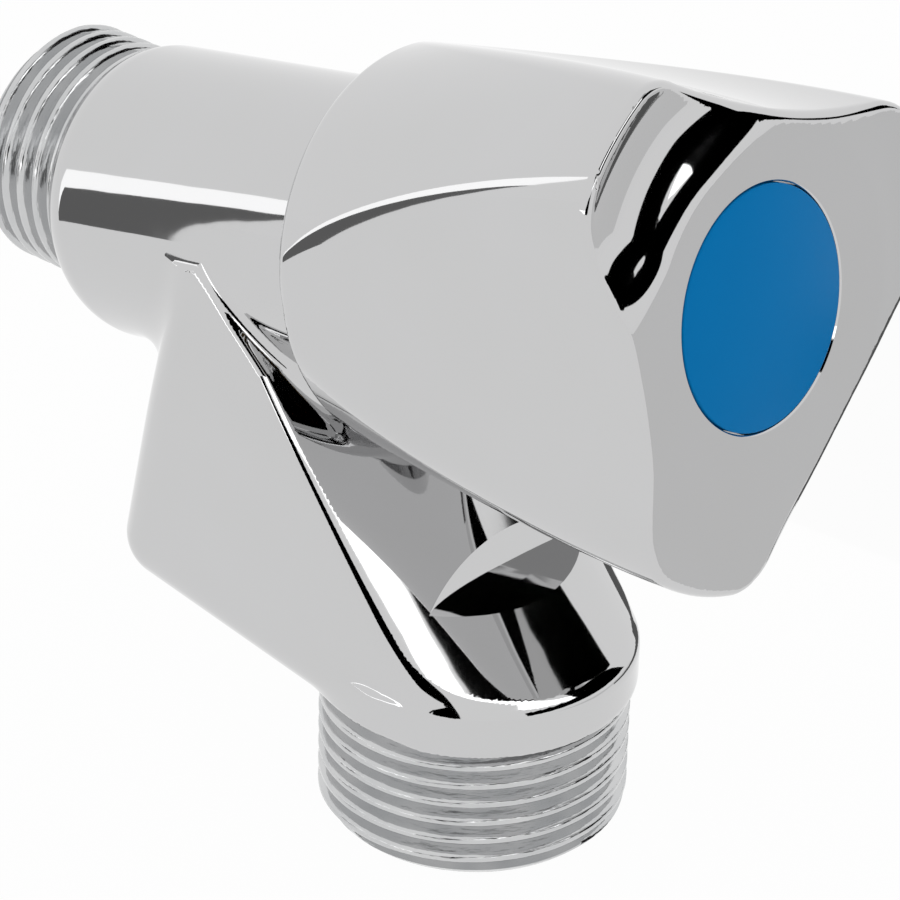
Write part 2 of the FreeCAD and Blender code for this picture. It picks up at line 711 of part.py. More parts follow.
def ring_groove(station):
    """Corners of a groove in the spindle for a rubber ring."""
    low = station - size.ring_section - size.groove_play
    high = station + size.ring_section + size.groove_play
    stem = size.spindle_radius
    return [(stem, low), (RING_GROOVE, low), (RING_GROOVE, high), (stem, high)]


def make_spindle():
    """Screw, thrust collar, stem with two ring grooves, clip groove and splined end."""
    body = new_body("spindle", BARREL)
    collar_start = THRUST_FACE - size.thrust_thickness
    hole = size.handle_screw_radius + size.thread_clearance
    hole_start = size.spindle_end - size.screw_hole_depth
    corners = [(0, size.screw_start), (size.screw_radius, size.screw_start)]
    corners += [(size.screw_radius, collar_start), (THRUST_RADIUS, collar_start)]
    corners += [(THRUST_RADIUS, THRUST_FACE), (size.spindle_radius, THRUST_FACE)]
    corners += ring_groove(size.ring_inner_station) + ring_groove(size.ring_outer_station)
    corners += [(size.spindle_radius, CLIP_START), (size.clip_groove_radius, CLIP_START)]
    corners += [(size.clip_groove_radius, CLIP_END), (size.spline_radius, CLIP_END)]
    corners += [(size.spline_radius, size.spindle_end), (hole, size.spindle_end)]
    corners += [(hole, hole_start), (0, hole_start)]
    turning = turn_profile(body, "spindle", corners)
    DOCUMENT.recompute()
    plain_volume = turning.Shape.Volume
    tooth = new_sketch(body, "spline_gap", "XY_Plane", CLIP_END)
    floor = size.spline_floor / 2
    mouth = size.spline_mouth / 2
    root = size.spline_radius - size.spline_depth
    beyond = size.spline_radius + size.spline_depth
    draw_outline(tooth, [(root, -floor), (beyond, -mouth), (beyond, mouth), (root, floor)])
    gap = body.newObject("PartDesign::Pocket", "spline_gap_cut")
    gap.Profile = tooth
    gap.Reversed = True
    gap.setExpression("Length", (size.spindle_end - CLIP_END + size.overrun).formula)
    DOCUMENT.recompute()
    one_gap = plain_volume - gap.Shape.Volume
    pattern = body.newObject("PartDesign::PolarPattern", "splines")
    pattern.Originals = [gap]
    pattern.Axis = (tooth, ["N_Axis"])
    pattern.Angle = 360
    pattern.setExpression("Occurrences", size.spline_count.formula)
    body.Tip = pattern
    DOCUMENT.recompute()
    removed = plain_volume - pattern.Shape.Volume
    if one_gap <= 0 or removed < one_gap * (size.spline_count.value - 0.5):
        raise RuntimeError("the splines did not cut the spindle")
    keep(body, "spindle")


def make_spindle_rings():
    middle = size.spindle_radius + size.running_clearance / 2 - size.ring_section
    stations = {"inner": size.ring_inner_station, "outer": size.ring_outer_station}
    for place, station in stations.items():
        name = f"spindle_ring_{place}"
        keep(round_ring(name, BARREL, middle, size.ring_section - size.face_gap, station), name)


def make_spindle_retainers():
    """The thrust washer on the bonnet's end and the open ring that holds the spindle."""
    start = size.bonnet_end + size.face_gap
    washer = ring("thrust_washer", BARREL, STEM_BORE, size.clip_radius + size.thrust_washer_lip,
                  start, start + size.thrust_washer_thickness)
    keep(washer, "thrust_washer")
    clip = ring("spindle_clip", BARREL, size.clip_groove_radius + size.face_gap, size.clip_radius,
                CLIP_START + size.face_gap, CLIP_END - size.face_gap, size.clip_opening)
    keep(clip, "spindle_clip")


# Jumper

WASHER_START = size.seat_face + size.face_clearance
CUP_START = WASHER_START + size.washer_thickness
JUMPER_END = THRUST_FACE - size.thrust_thickness - size.jumper_lift - size.jumper_stop_gap


def make_jumper():
    """The hexagonal piston with its cup, bored for the spindle's screw."""
    lip = size.cup_radius - size.cup_lip
    top = CUP_START + size.cup_floor
    corners = [(0, CUP_START), (lip, CUP_START), (lip, CUP_START - size.cup_lip_depth)]
    corners += [(size.cup_radius, CUP_START - size.cup_lip_depth), (size.cup_radius, top)]
    corners += [(0, top)]
    cup = turned("jumper_cup", BARREL, corners)
    piston = hexagon("jumper_piston", BARREL, size.guide_hex, CUP_START, JUMPER_END - CUP_START)
    bore_radius = size.screw_radius + size.thread_clearance
    bore = rod("jumper_bore", BARREL, bore_radius,
               size.jumper_bore_start, JUMPER_END + size.overrun)
    hole_radius = size.washer_screw_radius + size.thread_clearance
    hole = rod("jumper_screw_hole", BARREL, hole_radius,
               CUP_START - size.overrun, size.jumper_bore_start + size.overrun)
    blank = fuse("jumper_blank", [cup, piston])
    keep(cut("jumper", blank, fuse("jumper_bores", [bore, hole])), "jumper")


def make_seat_washer():
    outer = size.cup_radius - size.cup_lip - size.running_clearance
    washer = ring("seat_washer", BARREL, size.washer_hole, outer, WASHER_START, CUP_START)
    keep(washer, "seat_washer")


def make_washer_screw():
    head_start = WASHER_START - size.washer_screw_head_height
    end = WASHER_START + size.washer_screw_length
    corners = [(0, head_start), (size.washer_screw_head, head_start)]
    corners += [(size.washer_screw_head, WASHER_START), (size.washer_screw_radius, WASHER_START)]
    corners += [(size.washer_screw_radius, end), (0, end)]
    keep(turned("washer_screw", BARREL, corners), "washer_screw")


# Handle


def handle_section(body, name, behind, inset):
    """The handle's outline at a distance behind its face, drawn in from its sides by an inset."""
    share = behind / size.handle_length
    flat = size.face_flat + (size.rim_flat - size.face_flat) * share
    corner = size.face_corner + (size.rim_corner - size.face_corner) * share
    section = new_sketch(body, name, "XY_Plane", size.handle_front - behind, size.corner_angle)
    draw_round_triangle(section, flat - inset, corner - inset, size.face_shift * (1 - share))
    return section


def make_handle_shell():
    """Hollow handle: a nearly round rim that opens into a three sided face, with a thumb scoop."""
    body = new_body("handle_shell", BARREL)
    front = size.front_round
    rim = size.rim_round
    round_share = 1 - COS30
    sections = [
        handle_section(body, "handle_rim_edge", size.handle_length, rim / 2),
        handle_section(body, "handle_rim_mid", size.handle_length - rim / 2, rim * round_share),
        handle_section(body, "handle_rim_end", size.handle_length - rim, ZERO),
        handle_section(body, "handle_side_end", front, ZERO),
        handle_section(body, "handle_face_mid", front / 2, front * round_share),
        handle_section(body, "handle_face_edge", front * round_share, front / 2),
        handle_section(body, "handle_face", ZERO, front),
    ]
    loft = body.newObject("PartDesign::AdditiveLoft", "handle_loft")
    loft.Profile = sections[0]
    loft.Sections = sections[1:]
    loft.Ruled = True
    DOCUMENT.recompute()
    solid_volume = loft.Shape.Volume
    cut_handle_hollow(body, size.handle_front - size.handle_length)
    scoop = new_sketch(body, "scoop_section", "XZ_Plane", 0, size.corner_angle, Vector(0, 1, 0))
    draw_circle(scoop, size.scoop_offset, size.handle_front + size.scoop_ahead, size.scoop_radius)
    pocket = body.newObject("PartDesign::Pocket", "thumb_scoop")
    pocket.Profile = scoop
    pocket.SideType = "Symmetric"
    pocket.setExpression("Length", (size.handle_length * 2).formula)
    DOCUMENT.recompute()
    if not 0 < pocket.Shape.Volume < solid_volume * HOLLOW_SHARE:
        raise RuntimeError("the handle was not hollowed")
    keep(body, "handle_shell")


def cut_handle_hollow(body, rim_station):
    """Mouth, hollow and dome round the boss, then the adapter's seat and the cap's recess."""
    web_start = size.adapter_end
    mouth_end = rim_station + size.mouth_depth
    hollow_end = rim_station + size.hollow_depth
    dome_end = rim_station + size.dome_depth
    socket = size.adapter_radius + size.thread_clearance
    outside = rim_station - size.overrun
    corners = [(0, outside), (size.mouth_radius, outside), (size.mouth_radius, mouth_end)]
    corners += [(size.hollow_radius, mouth_end + size.mouth_slope)]
    corners += [(size.hollow_radius, hollow_end)]
    corners += [(size.dome_radius, hollow_end + size.hollow_slope)]
    corners += [(size.dome_radius, dome_end), (size.boss_radius, dome_end)]
    corners += [(size.boss_radius, size.boss_start), (socket, size.boss_start)]
    corners += [(socket, web_start), (0, web_start)]
    groove_out(body, "handle_hollow", corners)
    hole = size.handle_screw_radius + size.handle_screw_play
    recess_floor = size.handle_front - size.cap_thickness
    cap_wall = size.cap_radius + size.cap_gap
    ahead = size.handle_front + size.overrun
    behind = web_start - size.overrun
    corners = [(0, behind), (hole, behind), (hole, size.web_end)]
    corners += [(size.head_recess_radius, size.web_end), (size.head_recess_radius, recess_floor)]
    corners += [(cap_wall, recess_floor), (cap_wall, ahead), (0, ahead)]
    groove_out(body, "cap_recess", corners)


def groove_out(body, name, corners):
    sketch = new_sketch(body, name + "_section", "XZ_Plane")
    draw_outline(sketch, corners)
    groove = body.newObject("PartDesign::Groove", name)
    groove.Profile = sketch
    groove.ReferenceAxis = (sketch, ["V_Axis"])
    groove.Angle = 360
    DOCUMENT.recompute()
    return groove


def make_index_cap():
    """The coloured disc, with the ring on its back that snaps into the screw recess."""
    floor = size.handle_front - size.cap_thickness
    outer = size.head_recess_radius - size.running_clearance
    inner = outer - size.cap_spigot_wall
    tip = floor - size.cap_spigot
    edge = size.cap_edge
    corners = [(0, floor), (inner, floor), (inner, tip), (outer, tip), (outer, floor)]
    corners += [(size.cap_radius, floor), (size.cap_radius, size.handle_front - edge)]
    corners += [(size.cap_radius - edge, size.handle_front), (0, size.handle_front)]
    keep(turned("index_cap", BARREL, corners), "index_cap")


def make_spline_adapter():
    adapter = ring("spline_adapter", BARREL, size.spline_radius + size.thread_clearance,
                   size.adapter_radius, size.boss_start + size.face_gap, size.adapter_end)
    keep(adapter, "spline_adapter")


def make_handle_screw():
    start = size.spindle_end - size.screw_hole_depth + size.overrun
    end = size.web_end + size.handle_screw_head_height
    head = size.handle_screw_head
    chamfer = size.handle_screw_chamfer
    corners = [(0, start), (size.handle_screw_radius, start)]
    corners += [(size.handle_screw_radius, size.web_end), (head, size.web_end)]
    corners += [(head, end - chamfer), (head - chamfer, end), (0, end)]
    keep(turned("handle_screw", BARREL, corners), "handle_screw")


# Non-return cartridge in the outlet

CLIP_TOP = size.clip_groove_height + size.clip_groove_width
HOUSING_START = CLIP_TOP + size.face_gap
HOUSING_END = size.outlet_bore_top - size.face_clearance
HOUSING_RADIUS = size.outlet_bore_radius - size.thread_clearance
HOUSING_BORE = HOUSING_RADIUS - size.housing_wall
CARTRIDGE_SEAT = HOUSING_END - size.cartridge_seat_thickness
GUIDE_TOP = HOUSING_START + size.guide_depth
SEAL_TOP = CARTRIDGE_SEAT - size.face_clearance
POPPET_TOP = SEAL_TOP - size.seal_thickness
POPPET_UNDER = POPPET_TOP - size.poppet_thickness


def make_check_clip():
    outer = size.outlet_bore_radius + size.clip_groove_depth - size.groove_play
    start = size.clip_groove_height + size.face_clearance
    clip = ring("check_clip", OUTLET, size.outlet_clip_inner, outer,
                start, CLIP_TOP - size.face_gap, size.outlet_clip_opening)
    keep(clip, "check_clip")


def make_check_housing():
    """Cartridge tube with its seat at the top, a ring groove outside and a step for the guide."""
    section = size.cartridge_ring_section
    groove_low = size.cartridge_ring_height - section - size.groove_play
    groove_high = size.cartridge_ring_height + section + size.groove_play
    groove = HOUSING_RADIUS - section * 2 + size.groove_play
    step = HOUSING_BORE + size.guide_step
    corners = [(step, HOUSING_START), (HOUSING_RADIUS, HOUSING_START)]
    corners += [(HOUSING_RADIUS, groove_low), (groove, groove_low), (groove, groove_high)]
    corners += [(HOUSING_RADIUS, groove_high), (HOUSING_RADIUS, HOUSING_END)]
    corners += [(size.cartridge_seat_radius, HOUSING_END)]
    corners += [(size.cartridge_seat_radius, CARTRIDGE_SEAT), (HOUSING_BORE, CARTRIDGE_SEAT)]
    corners += [(HOUSING_BORE, GUIDE_TOP), (step, GUIDE_TOP)]
    keep(turned("check_housing", OUTLET, corners), "check_housing")


def make_check_guide():
    """Rim, hub and spokes that carry the poppet's stem."""
    body = new_body("check_guide", OUTLET)
    outer = HOUSING_BORE + size.guide_step - size.face_gap
    low = HOUSING_START + size.face_gap
    high = GUIDE_TOP - size.face_gap
    rim_inner = outer - size.guide_rim
    hub_bore = size.stem_radius + size.running_clearance * 2
    hub_top = low + size.guide_hub_height
    rim = [(rim_inner, low), (outer, low), (outer, high), (rim_inner, high)]
    turn_profile(body, "guide_rim", rim)
    DOCUMENT.recompute()
    spokes = new_sketch(body, "guide_spokes", "XY_Plane", low)
    half = size.spoke_width / 2
    inside = size.guide_hub_radius - size.spoke_overlap
    outside = rim_inner + size.spoke_overlap
    draw_outline(spokes, [(inside, -half), (outside, -half), (outside, half), (inside, half)])
    spoke = body.newObject("PartDesign::Pad", "guide_spoke")
    spoke.Profile = spokes
    spoke.setExpression("Length", (high - low).formula)
    DOCUMENT.recompute()
    pattern = body.newObject("PartDesign::PolarPattern", "guide_spoke_pattern")
    pattern.Originals = [spoke]
    pattern.Axis = (spokes, ["N_Axis"])
    pattern.Angle = 360
    pattern.setExpression("Occurrences", size.spoke_count.formula)
    body.Tip = pattern
    DOCUMENT.recompute()
    hub = [(hub_bore, low), (size.guide_hub_radius, low)]
    hub += [(size.guide_hub_radius, hub_top), (hub_bore, hub_top)]
    turn_profile(body, "guide_hub", hub)
    keep(body, "check_guide")


def make_check_ring():
    middle = size.outlet_bore_radius - size.cartridge_ring_section - size.face_gap
    section = size.cartridge_ring_section - size.face_gap * 2
    ring_solid = round_ring("check_ring", OUTLET, middle, section, size.cartridge_ring_height)
    keep(ring_solid, "check_ring")


def make_check_poppet():
    """Disc with a stem below and a spigot above that holds the seal."""
    stem_end = POPPET_UNDER - size.stem_tail
    spigot_top = POPPET_TOP + size.seal_thickness + size.spigot_tip
    corners = [(0, stem_end), (size.stem_radius, stem_end), (size.stem_radius, POPPET_UNDER)]
    corners += [(size.poppet_radius, POPPET_UNDER), (size.poppet_radius, POPPET_TOP)]
    corners += [(size.spigot_radius, POPPET_TOP), (size.spigot_radius, spigot_top)]
    corners += [(0, spigot_top)]
    keep(turned("check_poppet", OUTLET, corners), "check_poppet")


def make_poppet_seal():
    inner = size.spigot_radius + size.face_gap
    outer = size.poppet_radius - size.seal_inset
    seal = ring("poppet_seal", OUTLET, inner, outer, POPPET_TOP, SEAL_TOP)
    keep(seal, "poppet_seal")


def make_check_spring():
    """Coil spring between the guide's spokes and the poppet."""
    start = GUIDE_TOP + size.spring_wire
    height = POPPET_UNDER - size.spring_wire - start - size.face_gap
    coil = DOCUMENT.addObject("Part::Helix", "spring_line")
    coil.setExpression("Radius", size.spring_radius.formula)
    coil.setExpression("Height", height.formula)
    coil.setExpression("Pitch", (height / size.spring_turns).formula)
    OUTLET.seat(coil, start)
    wire = DOCUMENT.addObject("Part::RegularPolygon", "spring_wire_section")
    wire.Polygon = 6
    wire.setExpression("Circumradius", size.spring_wire.formula)
    place_y = OUTLET.start_y
    place_z = OUTLET.start_z + start
    spot = Vector(size.spring_radius.value, place_y.value, place_z.value)
    wire.Placement = Placement(spot, Rotation(Vector(1, 0, 0), 90))
    wire.setExpression("Placement.Base.x", size.spring_radius.formula)
    wire.setExpression("Placement.Base.y", place_y.formula)
    wire.setExpression("Placement.Base.z", place_z.formula)
    sweep = DOCUMENT.addObject("Part::Sweep", "check_spring")
    sweep.Sections = [wire]
    sweep.Spine = (coil, [])
    sweep.Solid = True
    sweep.Frenet = True
    keep(sweep, "check_spring")


def main():
    make_valve_body()
    make_bonnet()
    make_bonnet_gasket()
    make_spindle()
    make_spindle_rings()
    make_spindle_retainers()
    make_jumper()
    make_seat_washer()
    make_washer_screw()
    make_handle_shell()
    make_index_cap()
    make_spline_adapter()
    make_handle_screw()
    make_check_clip()
    make_check_housing()
    make_check_guide()
    make_check_ring()
    make_check_poppet()
    make_poppet_seal()
    make_check_spring()
    DOCUMENT.recompute()
    check_document()
    export_parts()


def check_document():
    """Stop if any object failed or any sub-part has no sound shape."""
    for thing in DOCUMENT.Objects:
        if "Invalid" in thing.State or "Error" in thing.State:
            raise RuntimeError(f"{thing.Name} failed: {thing.State}")
    for part in SUB_PARTS:
        if part.Shape.isNull() or not part.Shape.isValid() or not part.Shape.Solids:
            raise RuntimeError(f"{part.Label} has no sound solid")


def export_parts():
    os.makedirs("parts", exist_ok=True)
    for part in SUB_PARTS:
        part.Shape.exportStep(f"parts/{part.Label}.step")
        print(part.Label, len(part.Shape.Solids), round(part.Shape.Volume, 1), "cubic mm")


main()
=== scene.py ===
# %% [markdown]
# # A washing machine tap
#
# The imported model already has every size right: body, headwork, handle and the valve in the
# outlet. This lesson gives it the surfaces of the real thing: a casting whose edges flow into one
# another, rolled threads, a chromed handle with a thumb scoop, and a studio for the chrome to
# reflect. All measures in the shaping cells are in millimetres, in the frame of the model.

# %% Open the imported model
import json
import math
import bmesh
import bpy
import numpy as np
from mathutils import Matrix, Vector

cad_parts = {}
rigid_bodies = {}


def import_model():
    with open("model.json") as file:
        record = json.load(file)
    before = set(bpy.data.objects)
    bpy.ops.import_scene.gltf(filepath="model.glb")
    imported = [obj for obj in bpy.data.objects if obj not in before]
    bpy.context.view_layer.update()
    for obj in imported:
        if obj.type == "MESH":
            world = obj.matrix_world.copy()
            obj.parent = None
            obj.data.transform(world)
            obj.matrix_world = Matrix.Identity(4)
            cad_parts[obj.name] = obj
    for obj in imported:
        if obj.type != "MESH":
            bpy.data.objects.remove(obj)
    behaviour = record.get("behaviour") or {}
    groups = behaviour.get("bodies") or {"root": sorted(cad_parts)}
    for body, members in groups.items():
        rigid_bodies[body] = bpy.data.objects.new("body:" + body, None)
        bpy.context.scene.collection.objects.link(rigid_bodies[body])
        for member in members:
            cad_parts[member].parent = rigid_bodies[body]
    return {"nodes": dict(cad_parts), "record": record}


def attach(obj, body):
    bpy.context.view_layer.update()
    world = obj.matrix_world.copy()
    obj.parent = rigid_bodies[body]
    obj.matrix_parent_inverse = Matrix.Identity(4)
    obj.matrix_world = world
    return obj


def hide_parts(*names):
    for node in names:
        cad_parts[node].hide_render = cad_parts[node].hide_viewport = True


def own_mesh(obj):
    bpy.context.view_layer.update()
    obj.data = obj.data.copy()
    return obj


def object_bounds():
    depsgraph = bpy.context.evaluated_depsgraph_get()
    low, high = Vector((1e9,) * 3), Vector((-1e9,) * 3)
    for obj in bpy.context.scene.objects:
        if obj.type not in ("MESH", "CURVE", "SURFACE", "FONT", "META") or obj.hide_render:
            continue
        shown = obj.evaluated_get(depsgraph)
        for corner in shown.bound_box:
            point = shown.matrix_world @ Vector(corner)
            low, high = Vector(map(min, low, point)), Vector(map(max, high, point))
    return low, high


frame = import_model()
cad_low, cad_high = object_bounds()

# %% [markdown]
# ## Three axes
#
# A tap is turned work: the inlet, the barrel and the outlet each have an axis. Every point of the
# model can be told by how far it lies along an axis, how far off it, and how high. The barrel
# climbs to the front by 10.6 degrees.

# %% Axes of the tap
MM = 0.001
MERGE_DISTANCE = 1e-7
CLIMB = math.radians(10.6)
CROSSING = np.array([0.0, -18.1, 0.0])
FORWARD = np.array([0.0, -math.cos(CLIMB), math.sin(CLIMB)])
UPWARD = np.array([0.0, math.sin(CLIMB), math.cos(CLIMB)])
OUTLET_FOOT = np.array([0.0, -48.7, -46.05])


def along_barrel(points):
    """Across, up and along the barrel, from where its axis crosses the inlet's."""
    offset = points - CROSSING
    return offset[..., 0], offset @ UPWARD, offset @ FORWARD


def over_outlet(points):
    """Across, behind and above the middle of the outlet's end face."""
    offset = points - OUTLET_FOOT
    return offset[..., 0], offset[..., 1], offset[..., 2]


def seat_on(start, along):
    """The placement that stands a piece made about +Z on an axis, in metres."""
    turn = Vector((0, 0, 1)).rotation_difference(Vector(along))
    return Matrix.Translation(Vector(start) * MM) @ turn.to_matrix().to_4x4()


BARREL_SEAT = seat_on(CROSSING, FORWARD)
INLET_SEAT = seat_on((0, 0, 0), (0, -1, 0))
OUTLET_SEAT = seat_on(OUTLET_FOOT, (0, 0, 1))
print("barrel axis:", FORWARD.round(4))

# %% [markdown]
# ## Rounding with distances
#
# Polishing leaves no sharp edge on a casting, and chrome shows every kink. The shapes are
# therefore written as distances: negative inside, positive outside. Where two of them meet, one
# formula gives a rounded edge and another fills the hollow corner.

# %% Rounded edge and hollow blend
def round_edge(first, second, radius):
    """What two shapes share, with the edge between them rounded."""
    corner = np.hypot(np.maximum(first + radius, 0), np.maximum(second + radius, 0))
    return np.minimum(np.maximum(first, second), -radius) + corner


def blend(first, second, reach):
    """Two shapes joined, with the corner between them filled."""
    near = np.maximum(reach - np.abs(first - second), 0)
    return np.minimum(first, second) - near**2 / (4 * reach)


def ease(value, low, high):
    """A smooth step from 0 to 1."""
    share = np.clip((value - low) / (high - low), 0, 1)
    return share * share * (3 - 2 * share)


# %% [markdown]
# ## The casting
#
# The body is one casting: a barrel with a round shoulder, and a leg that leads down to the
# outlet. The leg has flat sides, a back that leans, a sole that slopes, and a front that starts
# as bowed as the collar and ends flat under the handle. The sides ease in a little under the
# barrel, where the pattern maker left a hollow.

# %% Distance to the casting
BARREL_RADIUS = 12.6
BARREL_BACK = -9.2
BARREL_FRONT = 29.0
LEG_SIDE = 13.3
LEG_HEEL = (31.5, 15.7)
LEG_LEAN = math.radians(12.05)
SOLE_SLOPE = math.radians(9.5)
FRONT_SLOPE = math.radians(43.5)
COLLAR_RADIUS = 13.6
COLLAR_LOW = 12.6
COLLAR_HIGH = 16.5
FRONT_BOW = 8.9
FRONT_FLATTENING = 0.36
SHOULDER = 4.2
LEG_EDGE = 4.4
WAIST_DEPTH = 0.25
WAIST_BELOW = 7.5
WAIST_HEIGHT = 4.5


def leg_front(across, height):
    """How far behind the outlet axis the leg's front lies: its crest and its bow."""
    crest = (height - COLLAR_HIGH) / math.tan(FRONT_SLOPE) - COLLAR_RADIUS
    rise = np.clip(FRONT_BOW - FRONT_FLATTENING * (height - COLLAR_HIGH), 0.05, 10.0)
    radius = (LEG_SIDE**2 + rise**2) / (2 * rise)
    reach = np.clip(across, -LEG_SIDE, LEG_SIDE)
    return crest + reach**2 / (radius + np.sqrt(radius**2 - reach**2))


def casting(points):
    """Distance to the outside of the casting."""
    across, up, along = along_barrel(points)
    barrel = round_edge(np.hypot(across, up) - BARREL_RADIUS, BARREL_BACK - along, SHOULDER)
    barrel = np.maximum(barrel, along - BARREL_FRONT - 1)
    side_step, behind, height = over_outlet(points)
    off_heel, over_heel = behind - LEG_HEEL[0], height - LEG_HEEL[1]
    back = off_heel * math.cos(LEG_LEAN) + over_heel * math.sin(LEG_LEAN)
    sole = off_heel * math.sin(SOLE_SLOPE) - over_heel * math.cos(SOLE_SLOPE)
    front = (leg_front(side_step, height) - behind) * math.sin(FRONT_SLOPE)
    waist = WAIST_DEPTH * np.exp(-(((up + WAIST_BELOW) / WAIST_HEIGHT) ** 2))
    side = np.abs(side_step) - LEG_SIDE + waist
    leg = round_edge(round_edge(back, sole, LEG_EDGE), side, LEG_EDGE)
    bowed = np.hypot(side_step, np.minimum(behind, 0)) - COLLAR_RADIUS
    leg = round_edge(leg, round_edge(front, bowed, 0.7), 0.8)
    leg = np.maximum(np.maximum(leg, up), COLLAR_LOW - height)
    ring = np.hypot(side_step, behind)
    collar = round_edge(ring - COLLAR_RADIUS, COLLAR_LOW - height, 0.5)
    collar = round_edge(collar, height - COLLAR_HIGH, 0.6)
    reach = 5.0 - 4.0 * ease(np.abs(side_step), 8.0, 13.0)
    return blend(blend(barrel, leg, reach), collar, 0.8)


# %% [markdown]
# ## The handle
#
# Cut across, the handle is a triangle whose corners a circle trims. Near the body that circle is
# so tight that the handle is almost round; towards the face it opens and the corners reach out.
# The sides are faintly hollow for the fingers, each with a direction, a reach, a middle and a
# bend. A fourth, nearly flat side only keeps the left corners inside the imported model's box. A
# thumb scoop is milled across one corner: a groove on a wide arc, which lifts out at both ends.

# %% Distance to the handle
HANDLE_FACE = 58.98
HANDLE_LENGTH = 36.0
NECK_RADIUS = 16.2
CORNER_FLARE = 6.3
CORNER_POWER = 1.3
BACK_EDGE = 1.3
FACE_EDGE = 0.9
CORNER_EDGE = 2.3
CORNER_EDGE_LOSS = 2.0
SIDES = (
    (67, 15.0, -3.0, 60.0),
    (187, 15.2, 2.5, 50.0),
    (307, 15.3, 0.0, 900.0),
    (180, 17.2, 0.0, 9000.0),
)
SCOOP = {"arc": 18.75, "radius": 8.5, "ahead": 6.6, "edge": 0.8}
SCOOP_LEFT = (142, 174)
SCOOP_RIGHT = 112
SCOOP_RUN_OUT = 60


def handle_side(across, up, flare, side):
    """Distance outside one hollow side: its direction, its reach, its middle and its bend."""
    facing, reach, middle, bend = side
    turn = math.radians(facing)
    out = across * math.cos(turn) + up * math.sin(turn)
    beside = across * math.sin(turn) - up * math.cos(turn) - middle
    return out - reach - (NECK_RADIUS - reach) * (1 - flare**3) - beside**2 / (2 * bend)


def thumb_scoop(across, up, behind):
    """How deep inside the scoop's groove a point lies."""
    bearing = np.degrees(np.arctan2(up, across))
    lift = ease(bearing, *SCOOP_LEFT) + ease(SCOOP_RIGHT - bearing, 0, SCOOP_RUN_OUT)
    centre = SCOOP["ahead"] + (SCOOP["radius"] - SCOOP["ahead"]) * lift
    return SCOOP["radius"] - np.hypot(np.hypot(across, up) - SCOOP["arc"], behind + centre)


def handle(points):
    """Distance to the outside of the handle."""
    across, up, along = along_barrel(points)
    behind = HANDLE_FACE - along
    share = np.clip(behind / HANDLE_LENGTH, -0.1, 1)
    blank = np.hypot(across, up) - NECK_RADIUS - CORNER_FLARE * (1 - np.abs(share) ** CORNER_POWER)
    corner_edge = CORNER_EDGE - CORNER_EDGE_LOSS * share
    for side in SIDES:
        blank = round_edge(blank, handle_side(across, up, 1 - share, side), corner_edge)
    blank = round_edge(blank, behind - HANDLE_LENGTH, BACK_EDGE)
    face = round_edge(-behind, thumb_scoop(across, up, behind), SCOOP["edge"])
    return round_edge(blank, face, FACE_EDGE)


# %% [markdown]
# ## From distance to mesh
#
# A grid of points is laid over the shape. Each cell that the surface passes through gets one
# corner of the mesh, at the mean of the places where the surface crosses the cell's edges, and
# four cells round a crossed edge make a face. The corners are then moved onto the true surface
# along its slope, and the slope is kept as the shading normal, because chrome forgives nothing.

# %% Surface net
def slope(field, points, step=0.01):
    """Which way the distance grows, by small steps along each axis."""
    steps = np.eye(3) * step
    return np.stack([field(points + s) - field(points - s) for s in steps], -1) / (2 * step)


def edge_cells(start, axis):
    """The four cells round an edge of the grid, in turn."""
    first, second = [a for a in range(3) if a != axis]
    around = []
    for back_first, back_second in ((0, 0), (1, 0), (1, 1), (0, 1)):
        cell = start.copy()
        cell[:, first] -= back_first
        cell[:, second] -= back_second
        around.append(tuple(cell.T))
    return around


def surface_net(field, low, high, step):
    """Corners and four sided faces on the surface where a distance is nought."""
    grid = [np.arange(l, h + step, step) for l, h in zip(low, high)]
    layers = (np.meshgrid([x], grid[1], grid[2], indexing="ij") for x in grid[0])
    value = np.concatenate([field(np.stack(layer, -1)) for layer in layers])
    total = np.zeros((*np.subtract(value.shape, 1), 3))
    count = np.zeros(total.shape[:3])
    crossed = []
    for axis in range(3):
        near = np.delete(value, -1, axis)
        far = np.delete(value, 0, axis)
        start = np.argwhere((near < 0) != (far < 0))
        at_near, at_far = near[tuple(start.T)], far[tuple(start.T)]
        spot = start.astype(float)
        spot[:, axis] += at_near / (at_near - at_far)
        cells = edge_cells(start, axis)
        for cell in cells:
            np.add.at(total, cell, spot)
            np.add.at(count, cell, 1)
        crossed.append((cells, (at_near < 0) != (axis == 1)))
    used = count > 0
    number = np.full(count.shape, -1)
    number[used] = np.arange(used.sum())
    faces = []
    for cells, outward in crossed:
        quads = np.stack([number[cell] for cell in cells], -1)
        faces.append(np.where(outward[:, None], quads, quads[:, ::-1]))
    points = np.array(low) + total[used] / count[used][:, None] * step
    for _ in range(4):
        lean = slope(field, points)
        gap = field(points) / np.maximum((lean**2).sum(-1), 1e-9)
        points -= np.clip(gap, -step, step)[:, None] * lean
    return points, np.concatenate(faces)


def new_piece(name, points, faces):
    """A smooth mesh object from points in metres."""
    mesh = bpy.data.meshes.new(name)
    mesh.from_pydata([tuple(p) for p in points], [], [tuple(int(i) for i in f) for f in faces])
    mesh.shade_smooth()
    piece = bpy.data.objects.new(name, mesh)
    bpy.context.scene.collection.objects.link(piece)
    return piece


# %% [markdown]
# ## Machining
#
# After casting, the tap is bored and turned. Each cut is a closed turned shape, and a Boolean
# modifier takes it away, so bores and recesses keep the crisp edges that a tool leaves. The same
# turning makes whole pieces, such as the index cap.

